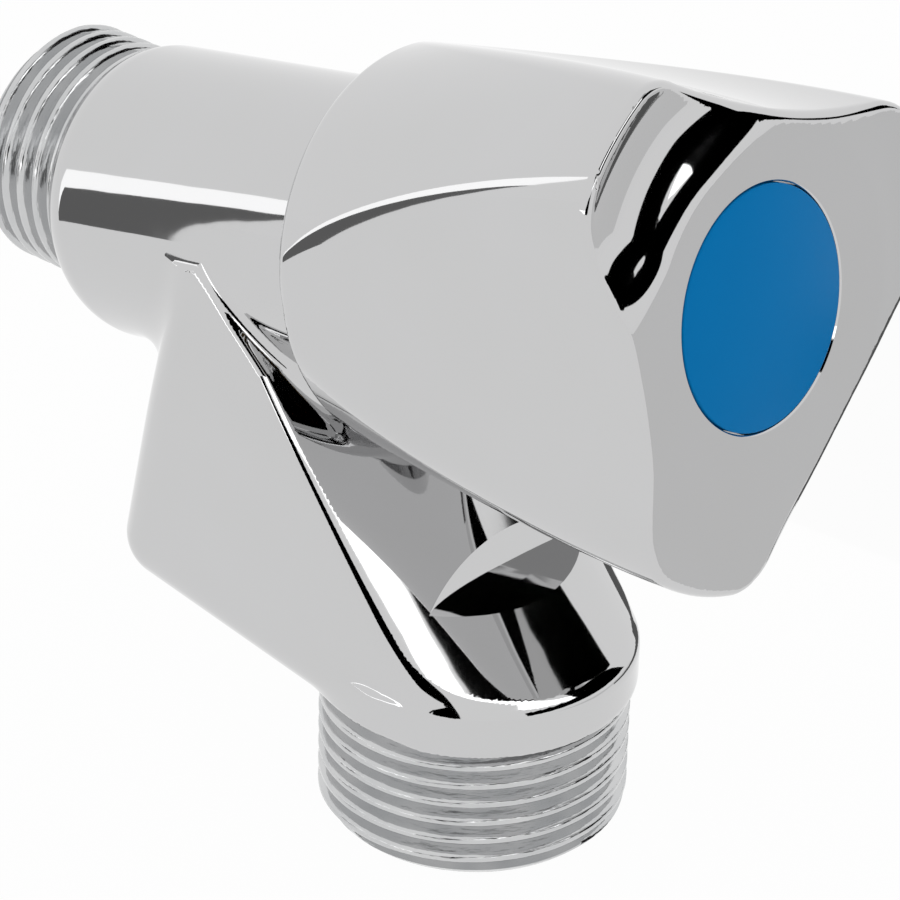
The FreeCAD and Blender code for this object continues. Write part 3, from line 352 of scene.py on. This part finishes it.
# %% Turned shapes and cuts
def turned(name, section, seat, facets=128):
    """Turn a section of (radius, height) corners in millimetres about +Z and seat it."""
    points, rows = [], []
    for radius, height in section:
        spread = facets if radius > 0 else 1
        angles = [2 * math.pi * index / facets for index in range(spread)]
        rows.append([len(points) + index for index in range(spread)])
        points += [(radius * math.cos(a), radius * math.sin(a), height) for a in angles]
    faces = []
    for low, high in zip(rows, rows[1:] + rows[:1]):
        if len(low) == len(high) == 1:
            continue
        for index in range(facets):
            following = (index + 1) % facets
            ring = [low[index % len(low)], low[following % len(low)],
                    high[following % len(high)], high[index % len(high)]]
            faces.append(list(dict.fromkeys(ring)))
    placed = [seat @ (Vector(point) * MM) for point in points]
    return new_piece(name, placed, faces)


def machine(piece, cutters):
    """Take turned shapes away from a piece."""
    for cutter in cutters:
        cut = piece.modifiers.new(cutter.name, "BOOLEAN")
        cut.operation = "DIFFERENCE"
        cut.solver = "MANIFOLD"
        cut.object = cutter
    left = bpy.data.meshes.new_from_object(piece.evaluated_get(bpy.context.evaluated_depsgraph_get()))
    piece.modifiers.clear()
    piece.data = left
    for cutter in cutters:
        bpy.data.objects.remove(cutter)
    return piece


SKIN = 0.05
SAME_WAY = 0.9


def polish(piece, field):
    """Give the cast surface its true normals and leave the machined faces as they are."""
    mesh = piece.data
    mesh.shade_smooth()
    mesh.set_sharp_from_angle(angle=math.radians(30))
    spots = np.empty(len(mesh.vertices) * 3)
    mesh.vertices.foreach_get("co", spots)
    spots = spots.reshape(-1, 3) / MM
    lean = slope(field, spots)
    lean /= np.maximum(np.linalg.norm(lean, axis=-1, keepdims=True), 1e-9)
    corner = np.empty(len(mesh.loops), int)
    mesh.loops.foreach_get("vertex_index", corner)
    shading = np.empty(len(mesh.loops) * 3)
    mesh.corner_normals.foreach_get("vector", shading)
    shading = shading.reshape(-1, 3)
    true = lean[corner]
    cast = (np.abs(field(spots))[corner] < SKIN) & ((true * shading).sum(-1) > SAME_WAY)
    shading[cast] = true[cast]
    mesh.normals_split_custom_set([tuple(n) for n in shading])


# %% [markdown]
# ## The cast body and its water ways
#
# The casting is meshed solid. Then four tools go in: the inlet bore, the valve chamber with its
# seat, the slanted way through the leg, and the bore for the valve in the outlet.

# %% Valve body
NET_STEP = 0.36
points, faces = surface_net(casting, (-15, -64.5, -34.5), (15, -4.5, 21.5), NET_STEP)
valve_body = new_piece("cast_body", points * MM, faces)
inlet_cut = [(0, 2.0), (7.3, 2.0), (7.3, 11.5), (7.0, 11.5), (7.0, 14.1), (0, 14.1)]
chamber_cut = [(0, -6.0), (5.5, -6.0), (5.5, 4.0), (7.0, 4.0), (7.0, 3.0), (9.3, 3.0), (9.3, 18.5),
               (10.48, 18.5), (10.48, 28.4), (11.0, 29.0), (30.0, 29.0), (30.0, 60.0), (0, 60.0)]
outlet_cut = [(0, 10.0), (9.8, 10.0), (9.8, 15.3), (9.5, 15.3), (6.2, 18.6), (0, 18.6)]
passage_cut = [(0, 0), (6.2, 0), (6.2, 35.5), (0, 35.5)]
passage_lean = math.radians(30)
passage_way = (0, math.sin(passage_lean), math.cos(passage_lean))
passage_seat = seat_on(OUTLET_FOOT + [0, 2.5, 13.0], passage_way)
machine(valve_body, [
    turned("inlet_tool", inlet_cut, INLET_SEAT),
    turned("chamber_tool", chamber_cut, BARREL_SEAT),
    turned("outlet_tool", outlet_cut, OUTLET_SEAT),
    turned("passage_tool", passage_cut, passage_seat),
])
polish(valve_body, casting)
print("cast body:", len(valve_body.data.polygons), "faces")

# %% [markdown]
# ## The handle
#
# The handle is a thin zinc casting, hollow so that it slips over the headwork. Its inside is
# turned: a mouth over the barrel, a hollow over the flange and a dome round the boss. In the
# face are the recess of the cap and the hole for the screw.

# %% Handle
points, faces = surface_net(handle, (-24, -82, -24), (26, -37, 37), NET_STEP)
handle_shell = new_piece("chromed_handle", points * MM, faces)
hollow_cut = [(0, 22.0), (14.5, 22.0), (14.5, 32.0), (12.95, 33.5), (12.95, 40.0), (11.3, 42.0),
              (11.3, 52.0), (7.5, 52.0), (7.5, 47.2), (5.58, 47.2), (5.58, 54.4), (2.2, 54.4),
              (2.2, 56.0), (4.4, 56.0), (4.4, 57.45), (9.76, 57.45), (9.76, 58.85), (9.9, 59.0),
              (9.9, 60.0), (0, 60.0)]
machine(handle_shell, [turned("handle_tool", hollow_cut, BARREL_SEAT)])
polish(handle_shell, handle)
print("handle:", len(handle_shell.data.polygons), "faces")


# %% [markdown]
# ## One way to write nodes
#
# A node tree is arithmetic drawn as boxes. Here a small class stands for a socket, so that a
# thread or a finish can be written as a sum and Blender still gets its Math nodes. Every other
# node comes from one method, which sets the node's settings first and then feeds its sockets.

# %% Sockets that can be added and multiplied
class Wire:
    """An output of a node; arithmetic on it adds Math nodes."""

    def __init__(self, net, socket):
        self.net = net
        self.socket = socket

    def maths(self, operation, *values):
        return self.net.node("ShaderNodeMath", {"operation": operation}, *values)

    def __add__(self, other):
        return self.maths("ADD", self, other)

    __radd__ = __add__

    def __sub__(self, other):
        return self.maths("SUBTRACT", self, other)

    def __rsub__(self, other):
        return self.maths("SUBTRACT", other, self)

    def __mul__(self, other):
        return self.maths("MULTIPLY", self, other)

    __rmul__ = __mul__

    def __truediv__(self, other):
        return self.maths("DIVIDE", self, other)

    def least(self, other):
        return self.maths("MINIMUM", self, other)

    def most(self, other):
        return self.maths("MAXIMUM", self, other)

    def over(self, other):
        """1 where this is more than the other, 0 elsewhere."""
        return self.maths("GREATER_THAN", self, other)

    def output(self, name):
        """Another output of the same node."""
        return Wire(self.net, self.socket.node.outputs[name])


class Net:
    """A node tree with one way to add nodes."""

    def __init__(self, tree):
        self.tree = tree

    def node(self, kind, settings=None, *values, **named):
        made = self.tree.nodes.new(kind)
        for key, value in (settings or {}).items():
            setattr(made, key, value)
        for slot, value in list(enumerate(values)) + list(named.items()):
            self.feed(made.inputs[slot.replace("_", " ") if isinstance(slot, str) else slot], value)
        return Wire(self, made.outputs[0]) if made.outputs else None

    def feed(self, socket, value):
        if isinstance(value, Wire):
            self.tree.links.new(value.socket, socket)
        else:
            socket.default_value = value


# %% [markdown]
# ## Threads
#
# Both ends carry pipe threads with 14 turns to the inch. A thread follows a rule, so Geometry
# Nodes make it: a flat grid is wound into a helix in which each row climbs by one pitch per turn.
# A row keeps its place in the profile all the way round, so crests stay clean. The first three
# rows are the bore and its edge, and at both ends the crests are turned down to the root.

# %% Thread tree
def add_input(tree, name, kind, value):
    socket = tree.interface.new_socket(name, in_out="INPUT", socket_type=kind)
    socket.default_value = value


LIP_ROWS = 3
FLANK = (0.22, 0.86)
RUN_OUT = 0.8


def thread_tree():
    """A helical thread on a sleeve, wound from a grid about +Z."""
    tree = bpy.data.node_groups.new("pipe_thread", "GeometryNodeTree")
    tree.interface.new_socket("Geometry", in_out="OUTPUT", socket_type="NodeSocketGeometry")
    for name, value in (("Crest Radius", 0.0105), ("Depth", 0.00116), ("Pitch", 0.001814),
                        ("Length", 0.01), ("Bore Radius", 0.007), ("Edge", 0.0003)):
        add_input(tree, name, "NodeSocketFloat", value)
    for name, value in (("Turns", 8), ("Rows per Turn", 12), ("Facets", 160)):
        add_input(tree, name, "NodeSocketInt", value)
    add_input(tree, "Finish", "NodeSocketMaterial", None)
    net = Net(tree)
    given = net.node("NodeGroupInput")
    crest, depth, pitch = given.output("Crest Radius"), given.output("Depth"), given.output("Pitch")
    length, bore, edge = given.output("Length"), given.output("Bore Radius"), given.output("Edge")
    per_turn = given.output("Rows per Turn")
    helix_rows = given.output("Turns") * per_turn
    grid_size = (given.output("Facets") + 1, helix_rows + (LIP_ROWS + 2))
    grid = net.node("GeometryNodeMeshGrid", None, 1.0, 1.0, *grid_size)
    place = net.node("ShaderNodeSeparateXYZ", None, net.node("GeometryNodeInputPosition"))
    turn = place.output("X") + 0.5
    row = (place.output("Y") + 0.5) * (helix_rows + (LIP_ROWS + 1))
    helix_row = row - LIP_ROWS
    height = (helix_row / per_turn - 1 + turn) * pitch
    height = height.most(0).least(length)
    phase = net.node("ShaderNodeMath", {"operation": "FRACT"}, helix_row / per_turn + 0.0001)
    fall = net.node("ShaderNodeMath", {"operation": "ABSOLUTE"}, phase - 0.5) * 2
    flank = net.node("ShaderNodeMapRange", {"interpolation_type": "SMOOTHSTEP"}, fall, *FLANK)
    root = crest - depth
    radius = (crest - flank * depth).least(root + height).least(root + (length - height) * RUN_OUT)
    first_row = net.node("ShaderNodeMath", {"operation": "LESS_THAN"}, row, 0.5)
    closing = first_row + row.over(helix_rows + (LIP_ROWS + 0.5))
    lip_inner = row.over(0.5) * (1 - row.over(1.5))
    lip_outer = row.over(1.5) * (1 - row.over(2.5))
    helical = 1 - closing - lip_inner - lip_outer
    radius = helical * radius + (1 - helical) * bore + lip_outer * edge
    height = helical * height + closing * length + lip_inner * edge
    angle = turn * (2 * math.pi)
    across = net.node("ShaderNodeMath", {"operation": "COSINE"}, angle) * radius
    aside = net.node("ShaderNodeMath", {"operation": "SINE"}, angle) * radius
    wound = net.node("GeometryNodeSetPosition", None, grid, True,
                     net.node("ShaderNodeCombineXYZ", None, across, aside, height))
    closed = net.node("GeometryNodeMergeByDistance", None, wound, Distance=MERGE_DISTANCE)
    real = net.node("GeometryNodeRealizeInstances", None, closed)
    done = net.node("GeometryNodeSetMaterial", None, real, Material=given.output("Finish"))
    net.node("NodeGroupOutput", None, done)
    return tree


THREAD = thread_tree()
print("thread tree:", len(THREAD.nodes), "nodes")


# %% Helper: a piece from a tree
def grown(name, tree, seat, **sizes):
    """Run a tree with these sizes and keep the result as a plain mesh, seated."""
    piece = new_piece(name, [], [])
    rule = piece.modifiers.new(name, "NODES")
    rule.node_group = tree
    for item in tree.interface.items_tree:
        key = item.name.replace(" ", "_").lower()
        if item.in_out == "INPUT" and key in sizes:
            rule[item.identifier] = sizes[key]
    made = bpy.data.meshes.new_from_object(piece.evaluated_get(bpy.context.evaluated_depsgraph_get()))
    piece.modifiers.clear()
    piece.data = made
    made.transform(seat)
    return piece


# %% [markdown]
# ## Finishes
#
# Chrome is a mirror with a grey cast. What makes it look real is how unevenly it was polished:
# faint waves bend the reflections, and fine wiping marks soften them in places. Turned work keeps
# lines round its axis. Plastic and rubber have a fine grain and no lines.

# %% Helpers: a finish and a tint
def new_finish(name, metal, **constants):
    """A material with its tree and its surface, the sockets that never vary set at once."""
    material = bpy.data.materials.new(name)
    material.use_nodes = True
    net = Net(material.node_tree)
    surface = material.node_tree.nodes["Principled BSDF"]
    surface.inputs["Metallic"].default_value = metal
    for key, value in constants.items():
        surface.inputs[key.replace("_", " ")].default_value = value
    return material, net, surface


def tint(net, share, first, second):
    """A colour between two, by a share."""
    mixed = net.node("ShaderNodeMix", {"data_type": "RGBA"}).socket.node
    for index, value in ((0, share), (6, (*first, 1.0)), (7, (*second, 1.0))):
        net.feed(mixed.inputs[index], value)
    return Wire(net, mixed.outputs[2])


def spot_of(net, stretch=(1, 1, 1)):
    """Where a point lies on the tap, stretched to draw a pattern out into lines."""
    place = net.node("ShaderNodeTexCoord").output("Object")
    return net.node("ShaderNodeMapping", None, place, Scale=stretch)


def noise(net, place, scale, detail=2.0):
    return net.node("ShaderNodeTexNoise", None, Vector=place, Scale=scale, Detail=detail)


def bump(net, height, distance):
    return net.node("ShaderNodeBump", None, Strength=1.0, Distance=distance, Height=height)


# %% Chrome
def chrome(name, grey, wave):
    """Polished chrome: a grey mirror with faint waves and a little haze where it was wiped."""
    material, net, surface = new_finish(name, 1.0)
    place = spot_of(net)
    haze = noise(net, place, scale=90.0)
    wiped = noise(net, spot_of(net, stretch=(900.0, 900.0, 120.0)), scale=1.0, detail=3.0)
    bright, dull = (grey, grey, grey * 1.012), (grey * 0.97,) * 3
    net.feed(surface.inputs["Base Color"], tint(net, haze, bright, dull))
    net.feed(surface.inputs["Roughness"], haze * 0.03 + wiped * 0.02 + 0.015)
    waves = noise(net, place, scale=160.0, detail=1.0)
    net.feed(surface.inputs["Normal"], bump(net, waves, distance=wave))
    return material


def turned_metal(name, first, second, stretch, roughness, depth):
    """Turned metal: lines round the axis, a colour that changes a little, and some haze."""
    material, net, surface = new_finish(name, 1.0)
    lines = noise(net, spot_of(net, stretch), scale=1.0, detail=3.0)
    cloud = noise(net, spot_of(net), scale=220.0)
    net.feed(surface.inputs["Base Color"], tint(net, cloud, first, second))
    net.feed(surface.inputs["Roughness"], lines * 0.12 + cloud * 0.06 + roughness)
    net.feed(surface.inputs["Normal"], bump(net, lines, depth))
    return material


BODY_CHROME = chrome("body_chrome", 0.59, 0.00002)
HANDLE_CHROME = chrome("handle_chrome", 0.59, 0.00001)
THREAD_GREYS = ((0.66,) * 3, (0.50, 0.51, 0.52))
BRASS_TONES = ((0.72, 0.52, 0.25), (0.64, 0.44, 0.20))
STEEL_GREYS = ((0.56, 0.56, 0.57), (0.47, 0.47, 0.48))
INLET_CHROME = turned_metal("inlet_thread_chrome", *THREAD_GREYS, (260, 3600, 260), 0.04, 0.00006)
OUTLET_CHROME = turned_metal("outlet_thread_chrome", *THREAD_GREYS, (260, 260, 3600), 0.04, 0.00006)
BRASS = turned_metal("turned_brass", *BRASS_TONES, (300, 4000, 300), 0.18, 0.00002)
STEEL = turned_metal("drawn_steel", *STEEL_GREYS, (300, 300, 4000), 0.2, 0.00001)


# %% Plastic, rubber and fibre
def moulded(name, first, second, roughness, grain, depth, shine):
    """Moulded stuff: a fine even grain and a colour that clouds a little."""
    material, net, surface = new_finish(name, 0.0, Specular_IOR_Level=shine)
    place = spot_of(net)
    cloud = noise(net, place, scale=60.0)
    fine = noise(net, place, scale=grain, detail=4.0)
    net.feed(surface.inputs["Base Color"], tint(net, cloud, first, second))
    net.feed(surface.inputs["Roughness"], fine * 0.1 + roughness)
    net.feed(surface.inputs["Normal"], bump(net, fine, depth))
    return material


BLUES = ((0.0, 0.20, 0.53), (0.0, 0.22, 0.57))
WHITES = ((0.74, 0.74, 0.71), (0.69, 0.69, 0.66))
BLACKS = ((0.018, 0.018, 0.018), (0.028, 0.028, 0.028))
REDS = ((0.36, 0.09, 0.05), (0.28, 0.06, 0.035))
BLUE = moulded("blue_plastic", *BLUES, roughness=0.32, grain=2500.0, depth=0.000004, shine=0.05)
WHITE = moulded("white_plastic", *WHITES, roughness=0.4, grain=1800.0, depth=0.00001, shine=0.5)
RUBBER = moulded("black_rubber", *BLACKS, roughness=0.55, grain=1500.0, depth=0.00002, shine=0.4)
FIBRE = moulded("red_fibre", *REDS, roughness=0.7, grain=900.0, depth=0.00004, shine=0.3)
FINISH_OF = {
    "brass": BRASS, "steel": STEEL, "rubber": RUBBER, "white_plastic": WHITE, "fibre": FIBRE,
    "blue_plastic": BLUE, "body_chrome": BODY_CHROME, "handle_chrome": HANDLE_CHROME,
}


def paint(piece, finish):
    piece.data.materials.clear()
    piece.data.materials.append(finish)


paint(valve_body, BODY_CHROME)
paint(handle_shell, HANDLE_CHROME)
for part in frame["record"]["subparts"]:
    paint(frame["nodes"][part["node"]], FINISH_OF[part["material_slot"]])
print("finishes:", len(bpy.data.materials))

# %% Inlet and outlet threads
THREAD_DEPTH = 0.00116
THREAD_EDGE = 0.0004
inlet_thread = grown(
    "inlet_thread", THREAD, INLET_SEAT, crest_radius=0.0104775, depth=THREAD_DEPTH,
    length=0.0107, bore_radius=0.007, edge=THREAD_EDGE, turns=8, finish=INLET_CHROME)
outlet_thread = grown(
    "outlet_thread", THREAD, OUTLET_SEAT, crest_radius=0.0132205, depth=THREAD_DEPTH,
    length=0.0145, bore_radius=0.0095, edge=THREAD_EDGE, turns=10, finish=OUTLET_CHROME)
for thread in (inlet_thread, outlet_thread):
    thread.data.shade_smooth()
    thread.data.set_sharp_from_angle(angle=math.radians(50))
    print(thread.name, len(thread.data.polygons), "faces")

# %% [markdown]
# ## The index cap
#
# A blue disc snaps into the face and tells cold from hot. It is turned, with a soft edge, and a
# hair's breadth of shadow shows all round it.

# %% Index cap
cap_section = [(0, 57.5), (9.5, 57.5), (9.64, 57.64), (9.64, 58.86), (9.6, 58.95), (9.5, 59.0),
               (0, 59.0)]
index_disc = turned("blue_disc", cap_section, BARREL_SEAT, 160)
index_disc.data.set_sharp_from_angle(angle=math.radians(50))
paint(index_disc, BLUE)

# %% Join the pieces to the model
for piece, body, slot, node in (
    (valve_body, "body", "body_chrome", "valve_body"),
    (inlet_thread, "body", "body_chrome", "valve_body"),
    (outlet_thread, "body", "body_chrome", "valve_body"),
    (handle_shell, "handle", "handle_chrome", "handle_shell"),
    (index_disc, "handle", "blue_plastic", "index_cap"),
):
    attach(piece, body)
    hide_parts(node)

# %% [markdown]
# ## The spring under the valve
#
# When the valve in the outlet drops, its spring is pressed together by as much as the valve moves,
# 2.5 mm. The spring of the model can't change its shape; a merged copy of it takes its place, with
# its lower end resting on the guide.

# %% Check spring
spring_node = frame["nodes"]["check_spring"]
spring_coil = new_piece("pressed_spring", [], [])
spring_coil.data = spring_node.data.copy()
loose = bmesh.new()
loose.from_mesh(spring_coil.data)
bmesh.ops.remove_doubles(loose, verts=loose.verts, dist=MERGE_DISTANCE)
loose.to_mesh(spring_coil.data)
loose.free()
spring_coil.data.shade_smooth()
spring_coil.data.set_sharp_from_angle(angle=math.radians(40))
paint(spring_coil, STEEL)
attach(spring_coil, "body")
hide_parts("check_spring")
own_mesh(spring_coil)

# %% [markdown]
# ## The studio
#
# Chrome shows its surroundings and little else, so the studio is the picture. The room is plain
# and pale. Cards that the camera doesn't see stand where the curved faces find them: white ones
# for the bright bands, and black or grey ones for the dark bands. Most stand 0.9 m off. Two
# stand close by, for the band along the barrel, and two lie on the floor, where faces that look
# down find them.

# %% Room
def glow(name, colour, strength):
    """A card's surface: it shines and reflects nothing."""
    material = bpy.data.materials.new(name)
    material.use_nodes = True
    net = Net(material.node_tree)
    material.node_tree.nodes.clear()
    shine = net.node("ShaderNodeEmission", None, Color=(*colour, 1.0), Strength=strength)
    net.node("ShaderNodeOutputMaterial", None, shine)
    return material


def seen_or_mirrored(net):
    """1 where the camera or a mirror finish looks, 0 where light falls on the tap."""
    path = net.node("ShaderNodeLightPath")
    return path.output("Is Camera Ray").most(path.output("Is Glossy Ray"))


room = bpy.data.worlds.new("room")
bpy.context.scene.world = room
room.use_nodes = True
net = Net(room.node_tree)
room.node_tree.nodes.clear()
wall_colour = tint(net, seen_or_mirrored(net), (0.9, 0.9, 0.9), (1.0, 1.0, 1.0))
net.node("ShaderNodeOutputWorld", None, net.node("ShaderNodeBackground", None, wall_colour, 1.0))

# %% Floor
FLOOR_GLOW = 0.97
FLOOR_GAP = 0.0002
CARD_LIFT = 0.0003
floor_z = cad_low.z - FLOOR_GAP
floor_corners = [(x, y, floor_z) for x, y in ((-3, -3), (3, -3), (3, 3), (-3, 3))]
floor = new_piece("floor", floor_corners, [(0, 1, 2, 3)])
floor_finish = bpy.data.materials.new("pale_floor")
floor_finish.use_nodes = True
net = Net(floor_finish.node_tree)
floor_finish.node_tree.nodes.clear()
share = seen_or_mirrored(net) * FLOOR_GLOW
matt = net.node("ShaderNodeBsdfDiffuse", None, Color=(0.8, 0.8, 0.8, 1.0))
white = net.node("ShaderNodeEmission", None, Strength=1.0)
pale = net.node("ShaderNodeMixShader", None, share, matt, white)
net.node("ShaderNodeOutputMaterial", None, pale)
floor.data.materials.append(floor_finish)

# %% Cards
TAP_MIDDLE = Vector((0.0, -0.044, -0.01))
BARREL_MIDDLE = Vector((0.0, -0.028, 0.0))
NEAR = 0.15
FAR = 0.9


def toward(bearing, height, start, distance):
    """A point that far away, by bearing from the front, to the right, and height in degrees."""
    turn, rise = math.radians(bearing), math.radians(height)
    level = math.cos(rise) * distance
    return start + Vector((math.sin(turn) * level, -math.cos(turn) * level, math.sin(rise) * distance))


def card(name, corners, grey, strength=1.0, start=TAP_MIDDLE, distance=FAR):
    """A flat card between four bearings and heights, seen by the chrome and not by the camera."""
    piece = new_piece(name, [toward(*corner, start, distance) for corner in corners], [(0, 1, 2, 3)])
    piece.data.materials.append(glow(name, (grey,) * 3, strength))
    piece.visible_camera = False


def floor_card(name, corners, grey):
    """A grey card that lies on the floor, its corners in millimetres."""
    spots = [(x * MM, y * MM, floor_z + CARD_LIFT) for x, y in corners]
    piece = new_piece(name, spots, [(0, 1, 2, 3)])
    piece.data.materials.append(glow(name, (grey,) * 3, 1.0))
    piece.visible_camera = False


card("front_strip", [(-57, 19.5), (28, 28.7), (28, 35.1), (-57, 24.5)], 1.0, 2.4)
card("front_dark", [(-60, 24.0), (4, 39.0), (4, 52.0), (-60, 40.0)], 0.0)
card("front_grey", [(4, 39.0), (52, 37.0), (52, 52.0), (4, 52.0)], 0.5)
card("right_dark", [(27, 20.0), (64, 16.0), (62, 29.0), (27, 43.0)], 0.0)
card("left_white", [(-130, -32.0), (-88, -20.0), (-88, 4.0), (-130, -2.0)], 1.0, 2.4)
card("left_dark", [(-88, -13.0), (-57, 0.0), (-57, 19.3), (-88, 7.0)], 0.0)
card("side_dark", [(-147, -16.0), (-131, -12.0), (-131, 17.0), (-147, -12.0)], 0.16,
     start=BARREL_MIDDLE, distance=NEAR)
card("side_white", [(-147, -12.0), (-131, 17.0), (-131, 31.0), (-147, 2.0)], 1.0, 1.6,
     start=BARREL_MIDDLE, distance=NEAR)
card("low_dark", [(-14, 9.0), (28, 13.0), (28, 28.5), (-14, 24.0)], 0.0)
card("low_right_dark", [(28, 13.0), (67, 6.0), (64, 18.0), (28, 28.5)], 0.0)
floor_card("floor_grey", [(40, -120), (460, -170), (450, -700), (40, -700)], 0.78)
floor_card("floor_dark", [(60, -105), (125, -152), (150, 0), (50, 30)], 0.12)


# %% Camera
CAMERA_PLACE = Vector((-233.04, -243.39, 162.04)) * MM
camera_data = bpy.data.cameras.new("camera")
camera_data.lens = 170.6
camera_data.sensor_width = 36.0
camera_data.clip_start = 0.01
camera = bpy.data.objects.new("camera", camera_data)
bpy.context.scene.collection.objects.link(camera)
right = Vector((0.6572, -0.7534, 0.0222)).normalized()
back = Vector((-0.6607, -0.5617, 0.4981)).normalized()
upright = back.cross(right).normalized()
turn = Matrix((right, upright, back)).transposed().to_4x4()
camera.matrix_world = Matrix.Translation(CAMERA_PLACE) @ turn
bpy.context.scene.camera = camera
bpy.context.scene.view_settings.view_transform = "Standard"
